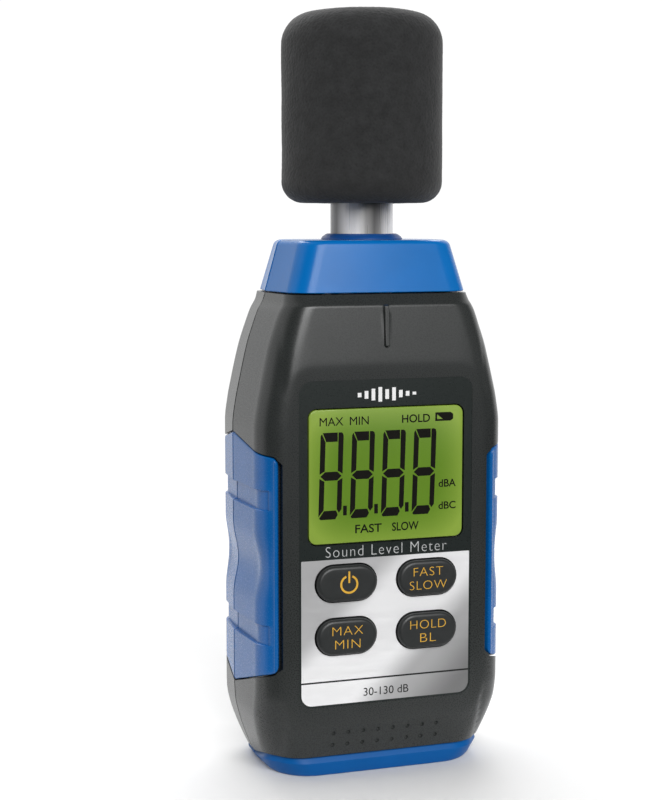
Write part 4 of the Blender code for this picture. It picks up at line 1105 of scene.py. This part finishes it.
def keypad():
    """Four keys with their legends."""
    y = KEY_FACE_Y
    legends = {
        "key_fast_slow": (("FAST", 0.0066, 1), ("SLOW", 0.0083, -1)),
        "key_max_min": (("MAX", 0.0067, 1), ("MIN", 0.0055, -1)),
        "key_hold_light": (("HOLD", 0.0080, 1), ("BL", 0.0035, -1)),
    }
    height, middle_gap = 0.0018, 0.00105
    for name, x, z in key_points():
        key_piece(name, x, z)
        for text, width, up in legends.get(name, ()):
            low = z + (middle_gap / 2 if up > 0 else -middle_gap / 2 - height)
            piece(lettering("legend", text, x - width / 2, x + width / 2, low, low + height, y, bold=-0.020,
                            spacing=1.08), name + "_legend_" + text.lower(), "amber_ink", name)
    x, z = next((x, z) for name, x, z in key_points() if name == "key_power")
    parts = [ring_shape("ring", 0.00175, 0.00042, (x + 0.0003, z - 0.0001), 112, 428, y),
             flat_shape("bar", rectangle(x + 0.0003 - 0.0002, x + 0.0003 + 0.0002, z + 0.0002, z + 0.0026), y)]
    piece(joined("power", parts), "key_power_icon", "amber_ink", "key_power")


def screw(head_y, head_thick, end, shank, head, centre, recess=0.0009):
    """A screw along Y with a domed, cross-recessed head facing the rear."""
    top = head_y + head_thick
    dome = min(0.0005, head_thick * 0.6)
    profile = [(0, end), (shank * 0.55, end + 0.0002), (shank, end + 0.0012), (shank, head_y),
               (head - 0.0001, head_y), (head, head_y + 0.0001), (head, top - dome), (head * 0.94, top - dome * 0.45),
               (head * 0.80, top - dome * 0.14), (head * 0.5, top), (0, top)]
    item = turned("screw", "Y", profile, centre, 40)
    blades = []
    for i in (0, 1):
        long, wide = head * 0.56, head * 0.13
        rings = []
        for share, y in ((0.55, top - recess), (1.0, top + 0.0004)):
            a, b = (long * share, wide) if i else (wide, long * share)
            rings.append([(centre[0] + sx * a, y, centre[1] + sz * b)
                          for sx, sz in ((-1, -1), (1, -1), (1, 1), (-1, 1))])
        blades.append(solid("blade", rings))
    return combine(item, ("DIFFERENCE", blades[0]), ("DIFFERENCE", blades[1]))


def fasteners():
    """Case screws and the threaded tripod insert."""
    for number, (x, z) in enumerate(CASE_SCREWS, 1):
        item = screw(HEAD_Y[0], HEAD_Y[1] - HEAD_Y[0], -0.0060, SCREW_SHANK, SCREW_HEAD, (x, z))
        piece(item, "housing_screw_" + str(number), "steel", stands_for="case_screw_" + str(number))
    back, front = INSERT_Y
    sides = 60
    floor = back + 0.0008
    rows = np.linspace(floor, front, 64)
    outer = [(INSERT_FLANGE - 0.0002, back), (INSERT_FLANGE, back + 0.0002), (INSERT_FLANGE, back + 0.0012),
             (INSERT_RADIUS, back + 0.0012), (INSERT_RADIUS, front - 0.0003), (INSERT_RADIUS - 0.0003, front)]
    rings = [disc("Y", r, y, (0, INSERT_Z), sides) for r, y in [(0, back)] + outer]
    for y in rows[::-1]:
        fade = float(smooth((front - y) / 0.0009)) * float(smooth((y - floor) / 0.0009))
        ring = []
        for i in range(sides):
            phase = ((y / THREAD_PITCH) + i / sides) % 1.0
            tooth = 1 - abs(2 * phase - 1)
            radius = INSERT_BORE + 0.0001 - THREAD_DEPTH * 0.75 * tooth * fade + 0.0004 * float(
                smooth(1 - (front - y) / 0.0006))
            turn = 2 * math.pi * i / sides
            ring.append((radius * math.cos(turn), y, INSERT_Z + radius * math.sin(turn)))
        rings.append(ring)
    rings.append([(0, floor, INSERT_Z)])
    piece(solid("insert", rings), "tripod_socket", "brass", stands_for="tripod_insert")


def cover():
    """Battery cover with its hooks, grip ribs and screw."""
    item = plate("cover", COVER_HALF, COVER_Z, (0.0010, 0.0010), COVER_Y[1], COVER_Y[0], edge=0.00025)
    steps = [("UNION", block("tab", (x - 0.0030, x + 0.0030), TAB_Y, TAB_Z)) for x in (-TAB_X, TAB_X)]
    for x in (-TAB_X, TAB_X):
        steps.append(("DIFFERENCE", block("relief", (x - 0.0040, x + 0.0040), (TAB_Y[0] + 0.0008, 0.0170),
                                          (0.0120, COVER_Z[0]))))
    steps.append(("DIFFERENCE", rods("head", SCREW_HEAD + GAP, (0.0146, 0.0180), [(0, COVER_SCREW_Z)], 40)))
    steps.append(("DIFFERENCE", rods("hole", SCREW_SHANK + GAP, (0.0120, 0.0150), [(0, COVER_SCREW_Z)])))
    grooves = []
    for i in range(9):
        z = 0.0600 - i * 0.0013
        half = 0.0080 - 0.0006 * abs(i - 4)
        y = COVER_Y[1]
        grooves.append(solid("groove", [[(x, y + 0.0003, z + 0.0006), (x, y + 0.0003, z - 0.0006),
                                         (x, y - 0.00040, z)] for x in (-half, half)]))
    steps.append(("DIFFERENCE", joined("grooves", grooves)))
    arrow = [(-0.0022, 0.0705), (0.0022, 0.0705), (0.0, 0.0672)]
    steps.append(("DIFFERENCE", solid("arrow", [[(x, y, z) for x, z in arrow] for y in (0.0155, 0.0180)])))
    combine(item, *steps)
    piece(item, "battery_door", "charcoal", "battery_cover", "battery_cover")
    item = screw(0.0149, 0.0008, 0.0112, SCREW_SHANK, SCREW_HEAD, (0, COVER_SCREW_Z), recess=0.0006)
    piece(item, "door_screw", "steel", "battery_cover", "cover_screw")


def power_cells():
    """Three cells with their springs."""
    top = CELL_BOTTOM + CELL_LENGTH
    for number in (1, 2, 3):
        x = (number - 2) * CELL_PITCH
        base, r = CELL_BOTTOM, CELL_RADIUS
        jacket = [(0, base + 0.0003), (0.0036, base + 0.0003), (0.0042, base), (r - 0.0004, base + 0.00005),
                  (r, base + 0.0005),
                  (r, top - 0.0015), (r - 0.0002, top - 0.0011), (0.0034, top - 0.0009), (0, top - 0.0009)]
        piece(turned("cell", "Z", jacket, (x, CELL_Y), 56), "cell_" + str(number), "cell",
              stands_for="battery_" + str(number))
        nub = [(0, top - 0.0010), (0.0030, top - 0.0010), (0.0028, top - 0.0008), (0.0019, top - 0.0007),
               (0.0019, top - 0.0001), (0.0017, top), (0, top)]
        piece(turned("nub", "Z", nub, (x, CELL_Y), 40), "cell_terminal_" + str(number), "spring")
        low, high = top + 0.0007, TRAY_Z[1] - TRAY_WALL - 0.0007
        points, count, turns = [], 90, 3
        for i in range(count + 1):
            share = i / count
            turn = 2 * math.pi * turns * share
            radius = 0.0019 + 0.0013 * share
            points.append(Vector((x + radius * math.cos(turn), CELL_Y + radius * math.sin(turn),
                                  low + share * (high - low))))
        piece(wire("spring", points, 0.0003), "cell_spring_" + str(number), "spring",
              stands_for="battery_spring_" + str(number))
        for side, text, level in ((1, "+", 0.0335), (-1, "1.5 V", 0.0140)):
            half_w, half_h = (0.0012, 0.0012) if side > 0 else (0.0030, 0.0010)
            mark = lettering("mark", text, -half_w, half_w, base + level - half_h, base + level + half_h, 0.0)
            for vertex in mark.data.vertices:
                across, deep, z = vertex.co
                turn = across / r
                radius = r + 0.00002 - deep
                vertex.co = (x - radius * math.sin(turn), CELL_Y + radius * math.cos(turn), z)
            mark.data.flip_normals()
            piece(mark, "cell_mark_" + str(number) + ("_plus" if side > 0 else "_volt"), "white_ink")


def wire(name, points, radius, sides=12):
    """A round wire through points."""
    rings = []
    for i, point in enumerate(points):
        ahead = (points[min(i + 1, len(points) - 1)] - points[max(i - 1, 0)]).normalized()
        across = ahead.cross(Vector((0, 0, 1))).normalized()
        up = across.cross(ahead)
        rings.append([tuple(point + radius * (math.cos(t) * across + math.sin(t) * up))
                      for t in (2 * math.pi * k / sides for k in range(sides))])
    return solid(name, rings, sharp=50)


def microphone():
    """Tube, gasket ring, capsule, protection grid and foam windscreen."""
    low, high = TUBE_Z
    r, bore = TUBE_RADIUS, TUBE_BORE
    tube = [(bore, low), (r - 0.0001, low), (r, low + 0.0001), (r, 0.0985), (0.0082, 0.0985), (0.0082, 0.1000),
            (r, 0.1000), (r, high - 0.0012), (r - 0.00012, high - 0.0011), (r - 0.00012, high - 0.0009),
            (r, high - 0.0008), (r, high - 0.0002), (r - 0.0002, high), (bore + 0.0001, high),
            (bore, high - 0.0001)]
    piece(turned("tube", "Z", tube, sides=128, loop=True), "microphone_barrel", "polished",
          stands_for="microphone_tube")
    base = CAP_Z[1] + 0.00005
    ring = [(r + 0.0002, base), (0.0086, base), (0.0086, base + 0.0002), (0.0083, base + 0.0006),
            (0.0076, base + 0.0011), (0.0073, base + 0.0012), (0.0070, base + 0.0011),
            (r + 0.0002, base + 0.0008)]
    piece(turned("gasket", "Z", ring, sides=96, loop=True), "gasket_ring", "gasket",
          stands_for="tube_gasket")
    low, high = CAPSULE_Z
    gr = GRID_RADIUS
    capsule = [(0, 0.1385), (0.0050, 0.1385), (0.0050, low), (gr - 0.0001, low), (gr, low + 0.0001),
               (gr, high - 0.0014), (gr - 0.00015, high - 0.0013), (gr - 0.00015, high - 0.0010),
               (gr, high - 0.0009), (gr, high - 0.0001), (gr - 0.0001, high), (0, high)]
    piece(turned("capsule", "Z", capsule, sides=96), "capsule_body", "black",
          stands_for="microphone_capsule")
    low, high = GRID_Z
    grid = [(0, low), (gr - 0.0001, low), (gr, low + 0.0001), (gr, high - 0.0006),
            (gr - 0.00015, high - 0.0003), (gr - 0.0004, high - 0.0001), (0.0056, high), (0, high)]
    item = turned("grid", "Z", grid, sides=96)
    holes = [(0.0, 0.0)]
    for count, radius in ((6, 0.0018), (12, 0.0036)):
        holes += [(radius * math.cos(2 * math.pi * i / count), radius * math.sin(2 * math.pi * i / count))
                  for i in range(count)]
    tools = [turned("hole", "Z", [(0.00055, low - 0.0005), (0.00055, high + 0.0005)], point, 20)
             for point in holes]
    combine(item, ("DIFFERENCE", joined("holes", tools)))
    piece(item, "protection_grid", "steel", stands_for="microphone_grid")
    windscreen()


def windscreen():
    """Turned foam body with a blind socket and a slightly uneven open-cell skin."""
    low, high = SCREEN_Z
    r, socket = SCREEN_RADIUS, TUBE_RADIUS + GAP
    profile = [(0, SOCKET_TOP)] + [(socket * i / 5, SOCKET_TOP) for i in range(1, 5)]
    profile += [(socket, z) for z in np.linspace(SOCKET_TOP, low + 0.0004, 22)]
    profile += [(socket + 0.0001, low + 0.0001), (socket + 0.0004, low)]
    profile += [(radius, low) for radius in np.linspace(socket + 0.0010, r - SCREEN_LOW_ROUND, 8)]
    profile += [(r - SCREEN_LOW_ROUND * along, low + SCREEN_LOW_ROUND * across) for along, across in quarter(12)]
    profile += [(r, z) for z in np.linspace(low + SCREEN_LOW_ROUND, high - SCREEN_TOP_ROUND, 48)[1:]]
    profile += [(r - SCREEN_TOP_ROUND * across, high - SCREEN_TOP_ROUND * along) for along, across in quarter(14)]
    profile += [(radius, high) for radius in np.linspace(r - SCREEN_TOP_ROUND, 0, 16)[1:]]
    item = turned("foam", "Z", profile, sides=176, sharp=60)
    mesh = item.data
    for vertex in mesh.vertices:
        point = vertex.co
        if math.hypot(point.x, point.y) < socket + 0.0008 and point.z < SOCKET_TOP + 0.0005:
            continue
        swell = noise.noise(point * 120.0) * 0.00010
        cells = noise.noise(point * 1400.0) * 0.000045
        vertex.co = point + vertex.normal * (swell + cells - 0.00008)
    piece(item, "foam_windscreen", "foam", "windscreen", "windscreen")


def carried_nodes():
    """Finishes for the CAD nodes that stay."""
    for name, finish in CARRIED.items():
        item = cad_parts[name]
        item.data.materials.clear()
        item.data.materials.append(M[finish])
    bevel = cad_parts["battery_tray"].modifiers.new("edges", "BEVEL")
    bevel.width, bevel.segments, bevel.limit_method = 0.00012, 2, "ANGLE"


# ---------------------------------------------------------------- stage

def stage():
    """Pale floor, soft lights and the camera."""
    scene = bpy.context.scene
    scene.view_settings.view_transform = "Standard"
    rim = ((0, -0.002), (0.5, -0.002), (0.5, 0.0), (0.2, 0.0), (0, 0.0))
    floor = turned("floor", "Z", rim, FLOOR_CENTRE, 96)
    floor.data.materials.append(floor_material())

    world = bpy.data.worlds.new("studio")
    scene.world = world
    world.use_nodes = True
    tree = world.node_tree
    background = tree.nodes["Background"]
    direction = tree.nodes.new("ShaderNodeTexCoord").outputs["Generated"]
    split = tree.nodes.new("ShaderNodeSeparateXYZ")
    tree.links.new(direction, split.inputs["Vector"])
    x, y, z = (split.outputs[axis] for axis in "XYZ")

    def facing(turn):
        """Cosine of the angle between a direction and one at some degrees right of the face's own."""
        turn = math.radians(turn)
        return maths(tree, "ADD", maths(tree, "MULTIPLY", x, math.sin(turn)),
                     maths(tree, "MULTIPLY", y, -math.cos(turn)))

    backdrop = ranged(tree, facing(BACKDROP_TURN), 0.0, 1.0, -0.15, 0.22)
    backdrop = maths(tree, "MULTIPLY", backdrop, ranged(tree, z, 1.0, 0.6, 0.35, 0.9))
    softbox = ranged(tree, facing(SOFTBOX_TURN), 0.0, 1.0, 0.62, 0.86)
    for value, *bounds in ((facing(SOFTBOX_EDGE_TURN), 0.25, 1.0, -0.10, 0.48), (z, 0.0, 1.0, -0.05, 0.06),
                           (z, 1.0, 0.45, 0.06, 0.24), (z, 1.0, 0.1, 0.45, 0.75)):
        softbox = maths(tree, "MULTIPLY", softbox, ranged(tree, value, *bounds))
    level = maths(tree, "MAXIMUM", maths(tree, "MULTIPLY", softbox, SOFTBOX_LEVEL), backdrop)
    tree.links.new(maths(tree, "ADD", level, AMBIENT), background.inputs["Strength"])
    background.inputs["Color"].default_value = (1, 1, 1, 1)

    for light in LIGHTS:
        add_light(*light)

    camera = bpy.data.objects.new("camera", bpy.data.cameras.new("camera"))
    scene.collection.objects.link(camera)
    turn, pitch = math.radians(CAMERA_TURN), math.radians(CAMERA_PITCH)
    camera.data.lens, camera.data.sensor_width, camera.data.sensor_fit = CAMERA_LENS, 36.0, "AUTO"
    camera.data.clip_start, camera.data.clip_end = 0.01, 20.0
    camera.location = CAMERA_PLACE
    look = Vector((math.sin(turn) * math.cos(pitch), math.cos(turn) * math.cos(pitch), -math.sin(pitch)))
    camera.rotation_mode = "QUATERNION"
    camera.rotation_quaternion = look.to_track_quat("-Z", "Y")
    scene.camera = camera


def floor_material():
    """Pale matte floor that thins out into the backdrop."""
    material = surface("floor", (0.92, 0.92, 0.92), 0.70, vary=0.01, mottle=8, grain=60, relief=0.0)
    tree = material.node_tree
    x, y = axis_value(tree, "X"), axis_value(tree, "Y")
    span = [maths(tree, "POWER", maths(tree, "SUBTRACT", value, centre), 2.0)
            for value, centre in ((x, FLOOR_CENTRE[0]), (y, FLOOR_CENTRE[1]))]
    share = ranged(tree, maths(tree, "SQRT", maths(tree, "ADD", *span)), 0.0, 1.0, *FLOOR_FADE)
    blend = tree.nodes.new("ShaderNodeMixShader")
    clear = tree.nodes.new("ShaderNodeBsdfTransparent")
    tree.links.new(share, blend.inputs[0])
    tree.links.new(tree.nodes["Principled BSDF"].outputs[0], blend.inputs[1])
    tree.links.new(clear.outputs[0], blend.inputs[2])
    tree.links.new(blend.outputs[0], tree.nodes["Material Output"].inputs["Surface"])
    return material


def add_light(name, power, size, location, target):
    """A soft rectangular light aimed at a point."""
    light = bpy.data.lights.new(name, "AREA")
    light.shape, light.size, light.size_y, light.energy = "RECTANGLE", size[0], size[1], power
    item = bpy.data.objects.new(name, light)
    item.location = location
    item.rotation_mode = "QUATERNION"
    item.rotation_quaternion = (Vector(target) - Vector(location)).to_track_quat("-Z", "Y")
    bpy.context.scene.collection.objects.link(item)


stage()
housing()
face()
keypad()
fasteners()
cover()
power_cells()
microphone()
carried_nodes()
